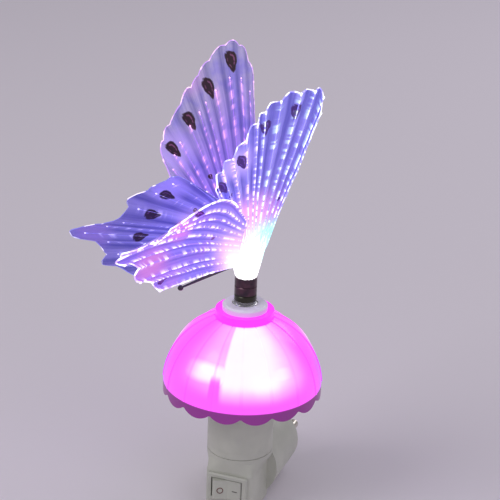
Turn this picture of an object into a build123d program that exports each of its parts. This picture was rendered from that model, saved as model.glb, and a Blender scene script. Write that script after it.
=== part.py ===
"""Plug-in butterfly fibre-optic night light, modelled piece by piece.

A white moulded base plugs straight into a wall socket and carries a rocker switch.
A neck with a tray on top holds the lamp board under a pink scalloped shade, and a
bush in the crown of the shade holds the ferrule of an optical fibre bundle, whose
strands run out over the four pleated wings of a fabric butterfly.

Units are millimetres. The origin is the middle of the plug's mating face: the wall is
the plane Y = 0, -Y is the front with the switch, +X is right and +Z is up.
"""

import math
import os

from build123d import *

# ---------------------------------------------------------------- driving dimensions
LAMP_Y = -42.0  # lamp axis in front of the wall
WALL = 2.0  # wall of the white mouldings
GAP = 0.2  # slip clearance between mouldings
TOUCH = 0.02  # clearance of pieces that seat on each other

# base housing
BOX_WIDTH = 24.4
BOX_FRONT = 16.0  # front face ahead of the lamp axis
BOX_BACK_Y = -30.0
BOX_CORNER = 3.0
BARREL_R = 17.4  # round plug block
FACE_THICK = 3.0  # wall that carries the pins
SPLIT_Y = -34.0  # joint between the front and rear housings
SHOULDER_LOW = 6.0
SHOULDER_HIGH = 12.0
SEAM_Z = 17.8  # where the neck sits on the base

# neck and tray
NECK_R = 16.35
SPIGOT_DEPTH = 3.8
TRAY_BELOW_RIM = 3.0
TRAY_THICK = 1.8
TRAY_HOLE_R = 9.0

# shade
RIM_Z = 52.0  # where the dome ends and the skirt begins
SHADE_R = 39.0
DOME_SINK = 2.8  # the dome's centre is this far under the rim
SHADE_WALL = 1.6
SKIRT = 6.0
NOTCH = 3.2  # depth of the notches between the lobes
LOBES = 16
SHADE_TURN = 19.0  # the notches stand this many degrees round from the front
RIB_PROUD = 0.35
RIB_ANGLE = 1.3
COLLAR_R = 14.3
COLLAR_TALL = 4.0

# crown: bush, ferrule and fibre bundle
BUSH_R = 11.0
BUSH_PROUD = 3.2  # above the collar
FERRULE_R = 5.45
FERRULE_WALL = 0.85
FERRULE_SEAT = 4.0  # depth in the bush
FERRULE_TALL = 13.8  # above the bush
FERRULE_GROOVES = 2
GLUE_WIDTH = 0.85  # of the foot, out from the ferrule
GLUE_R = FERRULE_R + GLUE_WIDTH
GLUE_TALL = 1.8
BUNDLE_FLARE = 24.0  # the strands spread over this height
BUNDLE_FLARE_R = 12.5
BUNDLE_WAIST_R = 9.0  # half way up the flare
BUNDLE_TOP_R = 9.0
BUNDLE_CROWN = 5.0
BUNDLE_BELOW_FERRULE = 6.0  # the strands end just over the lamp

# butterfly
HEADING = 48.0  # the head points this many degrees from +X towards +Y
WINGS_BELOW = 1.4  # the outlines' heights count from this far under the ferrule's top
WING_THICK = 0.6
WING_GAP = 0.05  # between a wing's root and the bundle that it is glued to
PLEATS = 11  # in each wing, running out from the root
PLEAT_DEEP = 0.75  # each way from the sheet's middle
SCALLOP = 0.03  # the margin's notches, as a share of the wing's length
WING_ROWS = (0.0, 0.4, 1.0)  # cross lines of the facets, from the flat root to the margin
STICK_ROOT_HIGH = 8.2  # in the outlines' heights
STICK_KNOB = (-35.0, 1.1)  # towards the head, and its height
STICK_ROOT_R = 1.1
STICK_END_R = 0.5
STICK_KNOB_R = 1.4

# plug
PIN_R = 2.4
PIN_LENGTH = 19.0
PIN_SPACING = 19.0
PIN_NECK_R = 1.9  # inside the insulating sleeve
SLEEVE_R = 2.2
SLEEVE_LONG = 8.0  # in front of the plug face
PIN_FLANGE_R = 3.6
PIN_FLANGE = 1.2
PIN_TAIL_R = 1.5
PIN_TAIL = 6.0

# housing screws
SCREW_R = 1.45
SCREW_HEAD_R = 2.7
SCREW_HEAD = 2.0
SCREW_HIGH_Z = 9.2
SCREW_LOW_Z = -11.6
SCREW_SEAT_Y = -20.0
SCREW_TIP_Y = -46.0
BOSS_R = 4.2
FRONT_BOSS_R = 2.8

# rocker switch
SWITCH_Z = -1.4
BEZEL_W = 21.0
BEZEL_H = 15.0
BEZEL_THICK = 2.0
SWITCH_BODY_W = 18.6
SWITCH_BODY_H = 12.6
SWITCH_BODY_DEPTH = 12.0
SWITCH_FLOOR = 1.5
SWITCH_OPEN_W = 16.2
SWITCH_OPEN_H = 10.9
ROCKER_H = 10.3
ROCKER_R = 7.9  # the rocker's ends are arcs about its pivot
ROCKER_TILT = 12.0  # each way from level
ROCKER_SKIN = 1.2
PIVOT_R = 1.1
PIVOT_BEHIND_BEZEL = 2.6
PIVOT_CLEAR = 0.06
CONTACT_TILT = 7.0
CONTACT_LONG = 12.0
CONTACT_WIDE = 4.0
CONTACT_THICK = 0.6
NOSE_R = 0.5  # the round nose that the contact bar rocks on
NOSE_DROP = 0.2  # its middle, under the bar
RIVET_R = 1.3
RIVET_THICK = 0.6
PLUNGER_R = 1.3
PLUNGER_REACH = 6.2  # from the rocker's pivot to the plunger's tip
PLUNGER_LONG = 4.0
SPRING_LONG = 2.4
SPRING_COILS = 4
SPRING_WIRE = 0.45
STEM_R = 2.3
STEM_DEEP = 4.6
ROCKER_CREST = 0.3  # the middle of the rocker stands this proud of the bezel
ROCKER_DEEP = 3.0
LOAD_X = -4.6  # the switched contact, on the side that goes down when it is on
TAB_W = 4.8
TAB_THICK = 0.8
TAB_LONG = 7.0

# boards and lamps
SHADE_BOARD_R = 13.0
BOARD_THICK = 1.2
LED_R = 2.5
LED_TALL = 8.6
LED_FLANGE_R = 2.9
LED_FLANGE = 1.0
LED_RING_R = 8.6
LED_TURN = -71.0  # one lamp stands towards the front
POWER_BOARD_HEADROOM = 2.7  # under the tray
POWER_BOARD_BACK = 5.0  # behind the lamp axis
RECTIFIER_INSET = 6.85  # in from the outside of the neck
BOARD_SCREW_OUT = 11.0
GUIDE_RIB = 1.0
ROD_SIDES = 10
STACK_SIDES = 16

# worked out from the sizes above
FRONT_Y = LAMP_Y - BOX_FRONT
BOX_LOW = -BARREL_R
BEZEL_Y = FRONT_Y - BEZEL_THICK
PIVOT_Y = BEZEL_Y + PIVOT_BEHIND_BEZEL
NOSE_Y = PIVOT_BEHIND_BEZEL + PLUNGER_REACH + 0.1 + CONTACT_THICK + NOSE_DROP
DOME_R = math.hypot(SHADE_R, DOME_SINK)
DOME_TOP = RIM_Z - DOME_SINK + math.sqrt(DOME_R**2 - COLLAR_R**2)
COLLAR_TOP = DOME_TOP + COLLAR_TALL
BUSH_TOP = COLLAR_TOP + BUSH_PROUD
FERRULE_TOP = BUSH_TOP + FERRULE_TALL
TRAY_LOW = RIM_Z - TRAY_BELOW_RIM
TRAY_TOP = TRAY_LOW + TRAY_THICK

PIECES = {}


def keep(name, shape):
    """Enter a finished piece under its node name."""
    PIECES[name] = shape


def on_lamp(shape):
    """Move a piece that was drawn about the Z axis onto the lamp axis."""
    return Pos(0, LAMP_Y, 0) * shape


def outline(*lines):
    """The flat face inside a closed run of lines and arcs."""
    return make_face([edge for line in lines for edge in line.edges()])


def turned_points(*points):
    """Revolve a half profile given by its corners."""
    face = Plane.XZ * make_face(Polyline(*points, close=True))
    return revolve(face, Axis.Z)


def upright(radius, low, high, x=0.0, y=0.0):
    """A vertical cylinder between two heights."""
    return Pos(x, y, (low + high) / 2) * Cylinder(radius, high - low)


def along_y(radius, front, back, x=0.0, z=0.0):
    """A cylinder that runs from front to back."""
    return Pos(x, (front + back) / 2, z) * Rot(90, 0, 0) * Cylinder(radius, back - front)


def rod(radius, low, high):
    """A small many-sided rod on the Z axis, for pieces hidden inside."""
    return Pos(0, 0, low) * extrude(RegularPolygon(radius, ROD_SIDES), high - low)


def rod_along_y(radius, front, back, x=0.0, z=0.0):
    """A many-sided rod that runs from front to back."""
    return Pos(x, front, z) * Rot(-90, 0, 0) * rod(radius, 0, back - front)


def facetted(polygons):
    """The solid that flat facets close, each given by its corners."""
    return Solid(Shell([Face(Wire.make_polygon(each, close=True)) for each in polygons]))


def stacked(*rings):
    """Many-sided rings, given as radius and height, joined by flat facets."""
    turns = [math.tau * i / STACK_SIDES for i in range(STACK_SIDES)]
    loops = [[Vector(r * math.cos(a), r * math.sin(a), z) for a in turns] for r, z in rings]
    walls = [
        (low[i - 1], low[i], high[i], high[i - 1])
        for low, high in zip(loops, loops[1:])
        for i in range(STACK_SIDES)
    ]
    return facetted(walls + [loops[0], loops[-1]])


def block(x, y, z):
    """A box between two values on each axis."""
    size = Box(x[1] - x[0], y[1] - y[0], z[1] - z[0])
    return Pos((x[0] + x[1]) / 2, (y[0] + y[1]) / 2, (z[0] + z[1]) / 2) * size


# ---------------------------------------------------------------- base housing
def housing_form(inset):
    """The outer form of the base, or its cavity where it is drawn in by a wall."""
    front = FRONT_Y + inset
    back = BOX_BACK_Y - inset
    section = Pos(0, (front + back) / 2) * RectangleRounded(
        BOX_WIDTH - 2 * inset, back - front, BOX_CORNER - inset
    )
    low = BOX_LOW + inset
    box = Pos(0, 0, low) * extrude(section, SHOULDER_LOW - low)
    ring = Pos(0, LAMP_Y) * Circle(NECK_R - inset)
    shoulder = loft([Pos(0, 0, SHOULDER_LOW) * section, Pos(0, 0, SHOULDER_HIGH) * ring])
    collar = upright(NECK_R - inset, SHOULDER_HIGH, SEAM_Z, y=LAMP_Y)
    barrel_back = -FACE_THICK if inset else 0.0
    barrel = along_y(BARREL_R - inset, SPLIT_Y + inset, barrel_back)
    if not inset:
        foot = box.edges().group_by(Axis.Z)[0]
        box = fillet(foot, BOX_CORNER - 1.0)
    return box + shoulder + collar + barrel


def housing_shell():
    """Both halves of the base in one, with the switch window and the screw bosses."""
    cavity = housing_form(WALL)
    for z in (SCREW_HIGH_Z, SCREW_LOW_Z):
        cavity -= rod_along_y(FRONT_BOSS_R, FRONT_Y + WALL - 0.5, SPLIT_Y, z=z)
        cavity -= rod_along_y(BOSS_R, SPLIT_Y, -FACE_THICK + 0.5, z=z)
    shell = housing_form(0) - cavity
    for z in (SCREW_HIGH_Z, SCREW_LOW_Z):
        shell -= rod_along_y(SCREW_R + TOUCH, SCREW_TIP_Y - 1, 0, z=z)
        shell -= along_y(SCREW_HEAD_R + GAP, SCREW_SEAT_Y, 1, z=z)
    half_w = SWITCH_BODY_W / 2 + GAP
    half_h = SWITCH_BODY_H / 2 + GAP
    window = block(
        (-half_w, half_w),
        (FRONT_Y - 1, FRONT_Y + WALL + 1),
        (SWITCH_Z - half_h, SWITCH_Z + half_h),
    )
    groove = upright(NECK_R + 1, SEAM_Z - 3.4, SEAM_Z - 3.0, y=LAMP_Y)
    groove -= upright(NECK_R - 0.35, SEAM_Z - 4, SEAM_Z, y=LAMP_Y)
    barrel_room = block((-40, 40), (SPLIT_Y, 0), (-40, 40))
    shell -= window + (groove - barrel_room)
    for x in (-PIN_SPACING / 2, PIN_SPACING / 2):
        shell -= along_y(SLEEVE_R + TOUCH, -FACE_THICK - 1, 1, x=x)
    return shell


def make_housing():
    shell = housing_shell()
    far = 100.0
    front = shell & block((-far, far), (-far, SPLIT_Y), (-far, far))
    rear = shell & block((-far, far), (SPLIT_Y + TOUCH, far), (-far, far))
    keep("front_housing", front)
    keep("rear_housing", rear)
    for side, word in ((-1, "left"), (1, "right")):
        keep(f"{word}_pin", plug_pin(side * PIN_SPACING / 2))
        keep(f"{word}_pin_sleeve", pin_sleeve(side * PIN_SPACING / 2))
    keep("housing_screws", Compound([housing_screw(z) for z in (SCREW_HIGH_Z, SCREW_LOW_Z)]))


def plug_pin(x):
    """A round contact pin: domed tip, thinner neck, clamping flange and crimp tail."""
    inner = -FACE_THICK - TOUCH
    flange = inner - PIN_FLANGE
    tip = turned_points(
        (0, SLEEVE_LONG),
        (PIN_R, SLEEVE_LONG),
        (PIN_R, PIN_LENGTH - PIN_R * 0.8),
        (PIN_R * 0.5, PIN_LENGTH),
        (0, PIN_LENGTH),
    )
    pin = tip + rod(PIN_NECK_R, inner, SLEEVE_LONG) + rod(PIN_FLANGE_R, flange, inner)
    pin += rod(PIN_TAIL_R, flange - PIN_TAIL, flange)
    return Pos(x, 0, 0) * Rot(-90, 0, 0) * pin


def pin_sleeve(x):
    """The insulating sleeve on a pin's neck, through the plug face."""
    end = SLEEVE_LONG - TOUCH
    sleeve = along_y(SLEEVE_R, -FACE_THICK, end, x=x)
    return sleeve - along_y(PIN_NECK_R + TOUCH, -FACE_THICK - 1, end + 1, x=x)


def housing_screw(z):
    """A long self-tapping screw, headed from the plug face."""
    length = SCREW_SEAT_Y + TOUCH - SCREW_TIP_Y
    head = rod(SCREW_HEAD_R, length, length + SCREW_HEAD)
    head = chamfer(head.faces().sort_by(Axis.Z)[-1].edges(), SCREW_HEAD / 3)
    slot = Pos(0, 0, length + SCREW_HEAD) * Box(3.2, 0.6, 2)
    head -= slot + Rot(0, 0, 90) * slot
    return Pos(0, SCREW_TIP_Y, z) * Rot(-90, 0, 0) * (head + rod(SCREW_R, 0, length))


# ---------------------------------------------------------------- neck and tray
def make_neck():
    """The neck with its spigot in the base and the tray that closes the dome."""
    inner = NECK_R - WALL
    spigot = inner - GAP
    bore = spigot - WALL + 0.2
    low = SEAM_Z - SPIGOT_DEPTH
    seat = SEAM_Z + TOUCH
    tray_r = SHADE_R - SHADE_WALL - GAP
    profile = [
        (bore, low),
        (spigot, low),
        (spigot, seat),
        (NECK_R, seat),
        (NECK_R, TRAY_LOW - 3),
        (NECK_R + 3, TRAY_LOW),
        (tray_r, TRAY_LOW),
        (tray_r, TRAY_TOP),
        (TRAY_HOLE_R, TRAY_TOP),
        (TRAY_HOLE_R, TRAY_LOW),
        (inner, TRAY_LOW),
        (inner, seat + WALL),
        (bore, seat),
    ]
    keep("neck_tray", on_lamp(turned_points(*profile)))


# ---------------------------------------------------------------- shade
def dome_height(radius, inset=0.0):
    """How high the dome stands at a radius, drawn in by an inset."""
    return RIM_Z - DOME_SINK + math.sqrt((DOME_R - inset) ** 2 - radius**2)


def dome_arc(end_r, inset=0.0):
    """The dome's meridian from the rim up to a radius, drawn in by an inset."""
    rim_r = math.sqrt((DOME_R - inset) ** 2 - DOME_SINK**2)
    middle = (DOME_R - inset) * math.sqrt(0.5)
    return ThreePointArc(
        (rim_r, RIM_Z), (middle, dome_height(middle, inset)), (end_r, dome_height(end_r, inset))
    )


def shade_slice(low, proud, angle):
    """A slice of the shade about +X: skirt, dome and collar, with its dome stood proud."""
    hole = BUSH_R + GAP
    outer = dome_arc(COLLAR_R, -proud)
    lining = dome_arc(hole, SHADE_WALL)
    inner_r = (lining @ 0).X
    corners = [(inner_r, RIM_Z), (inner_r, low), (SHADE_R, low), (SHADE_R, RIM_Z)]
    if proud:
        corners.append(outer @ 0)
    face = outline(
        Polyline(*corners),
        outer,
        Polyline(outer @ 1, (COLLAR_R, COLLAR_TOP), (hole, COLLAR_TOP), lining @ 1),
        lining,
    )
    return Rot(0, 0, -angle / 2) * revolve(Plane.XZ * face, Axis.Z, revolution_arc=angle)


def make_shade():
    """Sixteen gores with a round lobe each, and a fine raised rib between neighbours."""
    pitch = 360 / LOBES
    skirt_low = RIM_Z - SKIRT
    half_chord = SHADE_R * math.sin(math.radians(pitch / 2))
    lobe_r = (half_chord**2 + NOTCH**2) / (2 * NOTCH)
    gore_edge = SHADE_R * math.sin(math.radians((pitch - RIB_ANGLE) / 2))
    notch_high = skirt_low + lobe_r - math.sqrt(lobe_r**2 - gore_edge**2)
    lobe = Pos(SHADE_R, 0, skirt_low + lobe_r) * Rot(0, 90, 0) * Cylinder(lobe_r, 20)
    beside = block((SHADE_R - 8, SHADE_R + 2), (-9, 9), (skirt_low - 1, notch_high + 0.5))
    gore = shade_slice(skirt_low, 0.0, pitch - RIB_ANGLE) - (beside - lobe)
    rib = Rot(0, 0, pitch / 2) * shade_slice(notch_high, RIB_PROUD, RIB_ANGLE)
    first = SHADE_TURN - 90 + pitch / 2
    slices = [Rot(0, 0, first + i * pitch) * each for i in range(LOBES) for each in (gore, rib)]
    keep("shade", on_lamp(slices[0].fuse(*slices[1:])))


# ---------------------------------------------------------------- crown
def make_crown():
    bore = FERRULE_R + TOUCH
    seat = BUSH_TOP - FERRULE_SEAT
    hole = BUSH_R + GAP
    flange_top = dome_height(hole + 1.8, SHADE_WALL) - TOUCH
    stem_low = flange_top - 12.0
    bundle_r = FERRULE_R - FERRULE_WALL
    led_bore = LED_R + 0.05
    bush = turned_points(
        (bundle_r + TOUCH, flange_top - 2),
        (bundle_r + TOUCH, seat),
        (bore, seat),
        (bore, BUSH_TOP),
        (BUSH_R - 1, BUSH_TOP),
        (BUSH_R, BUSH_TOP - 1),
        (BUSH_R, flange_top),
        (hole + 1.8, flange_top),
        (hole + 1.8, flange_top - 1.8),
        (7.5, flange_top - 1.8),
        (7.5, stem_low),
        (led_bore, stem_low),
        (led_bore, flange_top - 2),
    )
    keep("top_bush", on_lamp(bush))
    tube = [(bundle_r, seat + TOUCH), (FERRULE_R, seat + TOUCH)]
    pitch = FERRULE_TALL / (FERRULE_GROOVES + 1)
    for i in range(FERRULE_GROOVES):
        z = BUSH_TOP + (i + 1) * pitch
        tube += [(FERRULE_R, z - 0.4), (FERRULE_R - 0.3, z), (FERRULE_R, z + 0.4)]
    tube += [(FERRULE_R, FERRULE_TOP), (bundle_r, FERRULE_TOP)]
    keep("ferrule", on_lamp(turned_points(*tube)))
    foot = BUSH_TOP + TOUCH
    inner = FERRULE_R + TOUCH
    waist = ((inner + GLUE_R) / 2 - 0.3, foot + GLUE_TALL * 0.42)
    glue = turned_points((inner, foot), (GLUE_R, foot), waist, (inner, foot + GLUE_TALL))
    keep("glue_ring", on_lamp(glue))
    led_base = stem_low - LED_FLANGE - TOUCH
    keep("fiber_led", on_lamp(led(led_base)))
    board = rod(7.5, led_base - BOARD_THICK - TOUCH, led_base - TOUCH)
    keep("fiber_led_board", on_lamp(board))
    keep("fiber_bundle", on_lamp(bundle_form(-TOUCH)))


def flare_radius(above):
    """The bundle's radius at a height over the ferrule, in the lower half of its flare."""
    mouth = FERRULE_R - FERRULE_WALL
    return mouth + (BUNDLE_WAIST_R - mouth) * above / (BUNDLE_FLARE / 2)


def bundle_form(grow):
    """The strands in the ferrule and their flare above it, drawn larger by an amount."""
    strands = FERRULE_R - FERRULE_WALL + grow
    low = BUSH_TOP - FERRULE_SEAT - BUNDLE_BELOW_FERRULE
    flare = FERRULE_TOP + BUNDLE_FLARE
    crown = flare + BUNDLE_CROWN + grow
    return stacked(
        (strands, low),
        (strands, FERRULE_TOP),
        (BUNDLE_WAIST_R + grow, FERRULE_TOP + BUNDLE_FLARE / 2),
        (BUNDLE_FLARE_R + grow, flare),
        (BUNDLE_TOP_R + grow, crown),
    )


def led(base):
    """A 5 mm lamp: flange, body and domed lens, standing on its base."""
    top = base + LED_TALL
    lens = rod(LED_R, base, top)
    lens = chamfer(lens.faces().sort_by(Axis.Z)[-1].edges(), LED_R * 0.5, LED_R * 0.4)
    return lens + rod(LED_FLANGE_R, base, base + LED_FLANGE)


# ---------------------------------------------------------------- butterfly
# Each wing is a fan that is spanned by its leading edge, its trailing edge and the margin
# between their ends. The points are (towards the head, height).
LEFT_FOREWING = (
    [(8.5, 17), (10, 40), (14, 65), (16.8, 89)],
    [(16.8, 89), (14, 103), (8.5, 107.5), (0, 103.5), (-13, 90), (-25, 76), (-33, 62), (-31, 49)],
    [(-9, 25), (-17, 33), (-31, 49)],
)
RIGHT_FOREWING = (
    [(8.5, 17), (10.5, 40), (14.6, 65), (18, 91)],
    [(18, 91), (16, 100.5), (8, 103.5), (-5, 102), (-14.5, 96), (-22, 81), (-31, 66), (-28, 53)],
    [(-9, 25), (-17, 36), (-28, 53)],
)
LEFT_HINDWING = (
    [(-5, 28), (-10, 37), (-18.5, 44)],
    [(-18.5, 44), (-33, 51.8), (-46.5, 45), (-54.5, 36.5), (-59.5, 31.6), (-80, 26.5)]
    + [(-71.5, 22), (-65, 18), (-64.5, 10), (-50, 2)],
    [(-5, 14), (-17, 9.5), (-50, 2)],
)
RIGHT_HINDWING = (
    [(3, 22), (-8, 36), (-20, 49.5), (-32, 53.7), (-50, 46.5)],
    [(-50, 46.5), (-61, 39), (-81, 35), (-72.8, 30), (-68.5, 20), (-60, 16), (-55, 10.4)],
    [(-1, 8), (-19, 12), (-55, 10.4)],
)
# A wing's sheet is a plane: its distance from the middle plane is a value at the root,
# plus a share of the height and a share of the distance towards the head.
FOREWING_SHEET = (-1.8, 0.387, -0.151)
LEFT_HINDWING_SHEET = (3.0, 0.0, -0.3)
RIGHT_HINDWING_SHEET = (4.6, 0.3, -0.2)
MIDDLE_SHEET = (0.0, 0.0, 0.0)


def butterfly_point(side, sheet, toward, above):
    """A point of a wing; side is +1 for the butterfly's right and -1 for its left."""
    at, per_height, per_toward = sheet
    out = side * (at + per_height * above + per_toward * toward)
    head = math.radians(HEADING)
    x = toward * math.cos(head) + out * math.sin(head)
    y = toward * math.sin(head) - out * math.cos(head)
    return Vector(x, LAMP_Y + y, FERRULE_TOP - WINGS_BELOW + above)


def fan_point(edges, across, out):
    """A point of the patch between a wing's edges, from lead to trail and from root out."""
    lead, margin, trail = edges
    root = Line(lead @ 0, trail @ 0)
    ends = Line(lead @ 1, trail @ 1)

    def between(a, b, share):
        return a + (b - a) * share

    sides = between(lead @ out, trail @ out, across)
    rows = between(root @ across, margin @ across, out)
    return sides + rows - between(root @ across, ends @ across, out)


def pleated_wing(side, sheet, outlines):
    """A thin pleated fan of flat facets; every second fold stands short of the margin."""
    edges = [Spline(*points) for points in outlines]
    origin = butterfly_point(side, sheet, 0, 0)
    ahead = butterfly_point(side, sheet, 1, 0) - origin
    normal = ahead.cross(butterfly_point(side, sheet, 0, 1) - origin).normalized()
    front, back = [], []
    for i in range(2 * PLEATS + 1):
        crest = 1 if i % 2 else -1
        across = i / (2 * PLEATS)
        for row in WING_ROWS:
            out = row if crest > 0 else row * (1 - SCALLOP)
            flat = fan_point(edges, across, out)
            lift = crest * PLEAT_DEEP if row else 0.0
            middle = butterfly_point(side, sheet, flat.X, flat.Y) + normal * lift
            front.append(middle + normal * WING_THICK / 2)
            back.append(middle - normal * WING_THICK / 2)
    return facetted_sheet(front, back, len(WING_ROWS))


def facetted_sheet(front, back, rows):
    """The solid between two grids of points, given column by column."""
    columns = len(front) // rows
    corners = []
    for i in range(columns - 1):
        for j in range(rows - 1):
            a, b = i * rows + j, i * rows + j + 1
            c, d = a + rows, b + rows
            corners += [(g[a], g[b], g[c]) for g in (front, back)]
            corners += [(g[b], g[d], g[c]) for g in (front, back)]
    rim = list(range(rows))
    rim += [i * rows + rows - 1 for i in range(1, columns)]
    rim += [len(front) - 1 - j for j in range(1, rows)]
    rim += [i * rows for i in range(columns - 2, 0, -1)]
    for a, b in zip(rim, rim[1:] + rim[:1]):
        corners += [(front[a], front[b], back[a]), (front[b], back[b], back[a])]
    return facetted(corners)


def make_butterfly():
    room = on_lamp(bundle_form(WING_GAP))
    wings = {
        "left_forewing": (-1, FOREWING_SHEET, LEFT_FOREWING),
        "right_forewing": (1, FOREWING_SHEET, RIGHT_FOREWING),
        "left_hindwing": (-1, LEFT_HINDWING_SHEET, LEFT_HINDWING),
        "right_hindwing": (1, RIGHT_HINDWING_SHEET, RIGHT_HINDWING),
    }
    for name, drawn in wings.items():
        keep(name, largest(pleated_wing(*drawn) - room))
    keep("abdomen_stick", abdomen_stick())


def largest(shape):
    """The biggest solid of a shape."""
    return shape.solids().sort_by(SortBy.VOLUME)[-1]


def abdomen_stick():
    """A thin black stick with a round knob, from the bundle down towards the tail."""
    at = -flare_radius(STICK_ROOT_HIGH - WINGS_BELOW) - GAP
    root = butterfly_point(1, MIDDLE_SHEET, at, STICK_ROOT_HIGH)
    knob = butterfly_point(1, MIDDLE_SHEET, *STICK_KNOB)
    length = (knob - root).length
    bead = STICK_KNOB_R
    stick = stacked(
        (STICK_ROOT_R, 0),
        (STICK_END_R, length - bead * 0.8),
        (bead * 0.8, length - bead * 0.6),
        (bead, length),
        (bead * 0.8, length + bead * 0.6),
        (bead * 0.3, length + bead),
    )
    return Plane(origin=root, z_dir=knob - root) * stick


# ---------------------------------------------------------------- rocker switch
def make_switch():
    """Snap-in rocker switch, drawn about its middle and then set in its window."""
    keep("switch_body", in_window(switch_body()))
    keep("rocker", in_window(rocker_pose(rocker_form())))
    keep("rocker_plunger", in_window(rocker_pose(plunger())))
    keep("plunger_spring", in_window(rocker_pose(plunger_spring())))
    keep("contact_bar", in_window(Pos(0, NOSE_Y) * Rot(0, 0, -CONTACT_TILT) * contact_bar()))
    keep("common_terminal", in_window(common_terminal()))
    keep("load_terminal", in_window(load_terminal()))


def in_window(shape):
    """Set a switch piece, drawn with its bezel face at Y = 0, in the housing."""
    return Pos(0, BEZEL_Y, SWITCH_Z) * shape


def rocker_pose(shape):
    """Tilt what was drawn level about the rocker's pivot, with its right end pressed in."""
    return Pos(0, PIVOT_BEHIND_BEZEL) * Rot(0, 0, ROCKER_TILT) * shape


def deep_block(width, front, back, height):
    """A box centred on the switch, between two depths behind the bezel's face."""
    return block((-width / 2, width / 2), (front, back), (-height / 2, height / 2))


def switch_body():
    back = BEZEL_THICK + SWITCH_BODY_DEPTH
    flange = deep_block(BEZEL_W, 0, BEZEL_THICK - TOUCH, BEZEL_H)
    flange = fillet(flange.edges().filter_by(Axis.Y), 1.0)
    flange = chamfer(flange.faces().sort_by(Axis.Y)[0].edges(), 0.6)
    tub = deep_block(SWITCH_BODY_W, BEZEL_THICK - 0.5, back, SWITCH_BODY_H)
    body = flange + tub
    body -= deep_block(SWITCH_OPEN_W, -1, back - SWITCH_FLOOR, SWITCH_OPEN_H)
    pivot_hole = Pos(0, PIVOT_BEHIND_BEZEL) * Cylinder(PIVOT_R + PIVOT_CLEAR, SWITCH_OPEN_H + 1.2)
    body -= pivot_hole
    finger = Plane.XY * outline(
        Polyline(
            (SWITCH_BODY_W / 2 - 0.2, BEZEL_THICK + WALL + 2 * GAP),
            (SWITCH_BODY_W / 2 + 0.5, BEZEL_THICK + WALL + 2 * GAP),
            (SWITCH_BODY_W / 2 - 0.2, BEZEL_THICK + WALL + 5),
            close=True,
        )
    )
    clip = extrude(finger, 2.5, both=True)
    body += clip + mirror(clip, Plane.YZ)
    for x in (0.0, LOAD_X):
        slot = block(
            (x - TAB_THICK / 2 - TOUCH, x + TAB_THICK / 2 + TOUCH),
            (back - SWITCH_FLOOR - 1, back + 1),
            (-TAB_W / 2 - TOUCH, TAB_W / 2 + TOUCH),
        )
        body -= slot
    return body


def rocker_form():
    """The rocker drawn level about its pivot: two shallow facets and round ends."""
    rise = math.tan(math.radians(ROCKER_TILT))
    crest = PIVOT_BEHIND_BEZEL + ROCKER_CREST
    sag = crest / math.hypot(1, rise)
    reach = math.sqrt(ROCKER_R**2 - sag**2)
    end_x = (reach - sag * rise) / math.hypot(1, rise)
    end_y = -(crest + rise * end_x)
    low = ROCKER_DEEP
    low_x = math.sqrt(ROCKER_R**2 - low**2)
    right_end = ThreePointArc((end_x, end_y), (ROCKER_R, 0), (low_x, low))
    left_end = ThreePointArc((-low_x, low), (-ROCKER_R, 0), (-end_x, end_y))
    section = outline(
        Polyline((-end_x, end_y), (0, -crest), (end_x, end_y)),
        right_end,
        Line((low_x, low), (-low_x, low)),
        left_end,
    )
    body = extrude(section, ROCKER_H / 2, both=True)
    body = fillet(body.edges().filter_by(Axis.Z).group_by(Axis.Y)[0], 0.5)
    inner = ROCKER_R - ROCKER_SKIN
    hollow = Cylinder(inner, ROCKER_H - 2 * ROCKER_SKIN)
    hollow &= block((-20, 20), (-crest + ROCKER_SKIN, 20), (-20, 20))
    body -= hollow
    body += rod_along_y(STEM_R, 0.5 - crest, STEM_DEEP - 0.5)
    bore_high = PLUNGER_REACH - PLUNGER_LONG - SPRING_LONG
    body -= rod_along_y(PLUNGER_R + GAP / 2, bore_high, STEM_DEEP + 1)
    trunnion = Cylinder(PIVOT_R, SWITCH_OPEN_H + 0.9)
    trunnion -= Box(20, 20, ROCKER_H - 0.4)
    return body + trunnion


def plunger():
    """A round-nosed pin that slides in the rocker's stem and pushes on the contact bar."""
    pin = rod_along_y(PLUNGER_R, PLUNGER_REACH - PLUNGER_LONG, PLUNGER_REACH)
    return chamfer(pin.faces().sort_by(Axis.Y)[-1].edges(), PLUNGER_R * 0.4)


def plunger_spring():
    """Coils behind the plunger, as a stack of flat-wire rings."""
    low = PLUNGER_REACH - PLUNGER_LONG - SPRING_LONG + 0.05
    pitch = (SPRING_LONG - 0.1 - SPRING_WIRE) / (SPRING_COILS - 1)
    ring = rod(PLUNGER_R, 0, SPRING_WIRE) - rod(PLUNGER_R - SPRING_WIRE, -1, 1)
    rings = [Pos(0, low + i * pitch) * Rot(-90, 0, 0) * ring for i in range(SPRING_COILS)]
    return Compound([each.solid() for each in rings])


def contact_bar():
    """A see-saw strip, drawn about the nose that it rocks on, with a rivet at one end."""
    half = CONTACT_LONG / 2
    low = -NOSE_DROP
    bar = block((-half, half), (low - CONTACT_THICK, low), (-CONTACT_WIDE / 2, CONTACT_WIDE / 2))
    bar = fillet(bar.edges().filter_by(Axis.Y), 0.8)
    bar -= Cylinder(NOSE_R + PIVOT_CLEAR, CONTACT_WIDE + 1)
    return bar + rod_along_y(RIVET_R, low - 0.2, low + RIVET_THICK, x=LOAD_X)


def common_terminal():
    """A tab through the floor whose round nose carries the contact bar."""
    back = BEZEL_THICK + SWITCH_BODY_DEPTH
    stem = block((-NOSE_R, NOSE_R), (NOSE_Y, NOSE_Y + 1.0), (-CONTACT_WIDE / 2, CONTACT_WIDE / 2))
    tab = block(
        (-TAB_THICK / 2, TAB_THICK / 2), (NOSE_Y + 0.9, back + TAB_LONG), (-TAB_W / 2, TAB_W / 2)
    )
    return tab + stem + Pos(0, NOSE_Y) * Cylinder(NOSE_R, CONTACT_WIDE)


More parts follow.
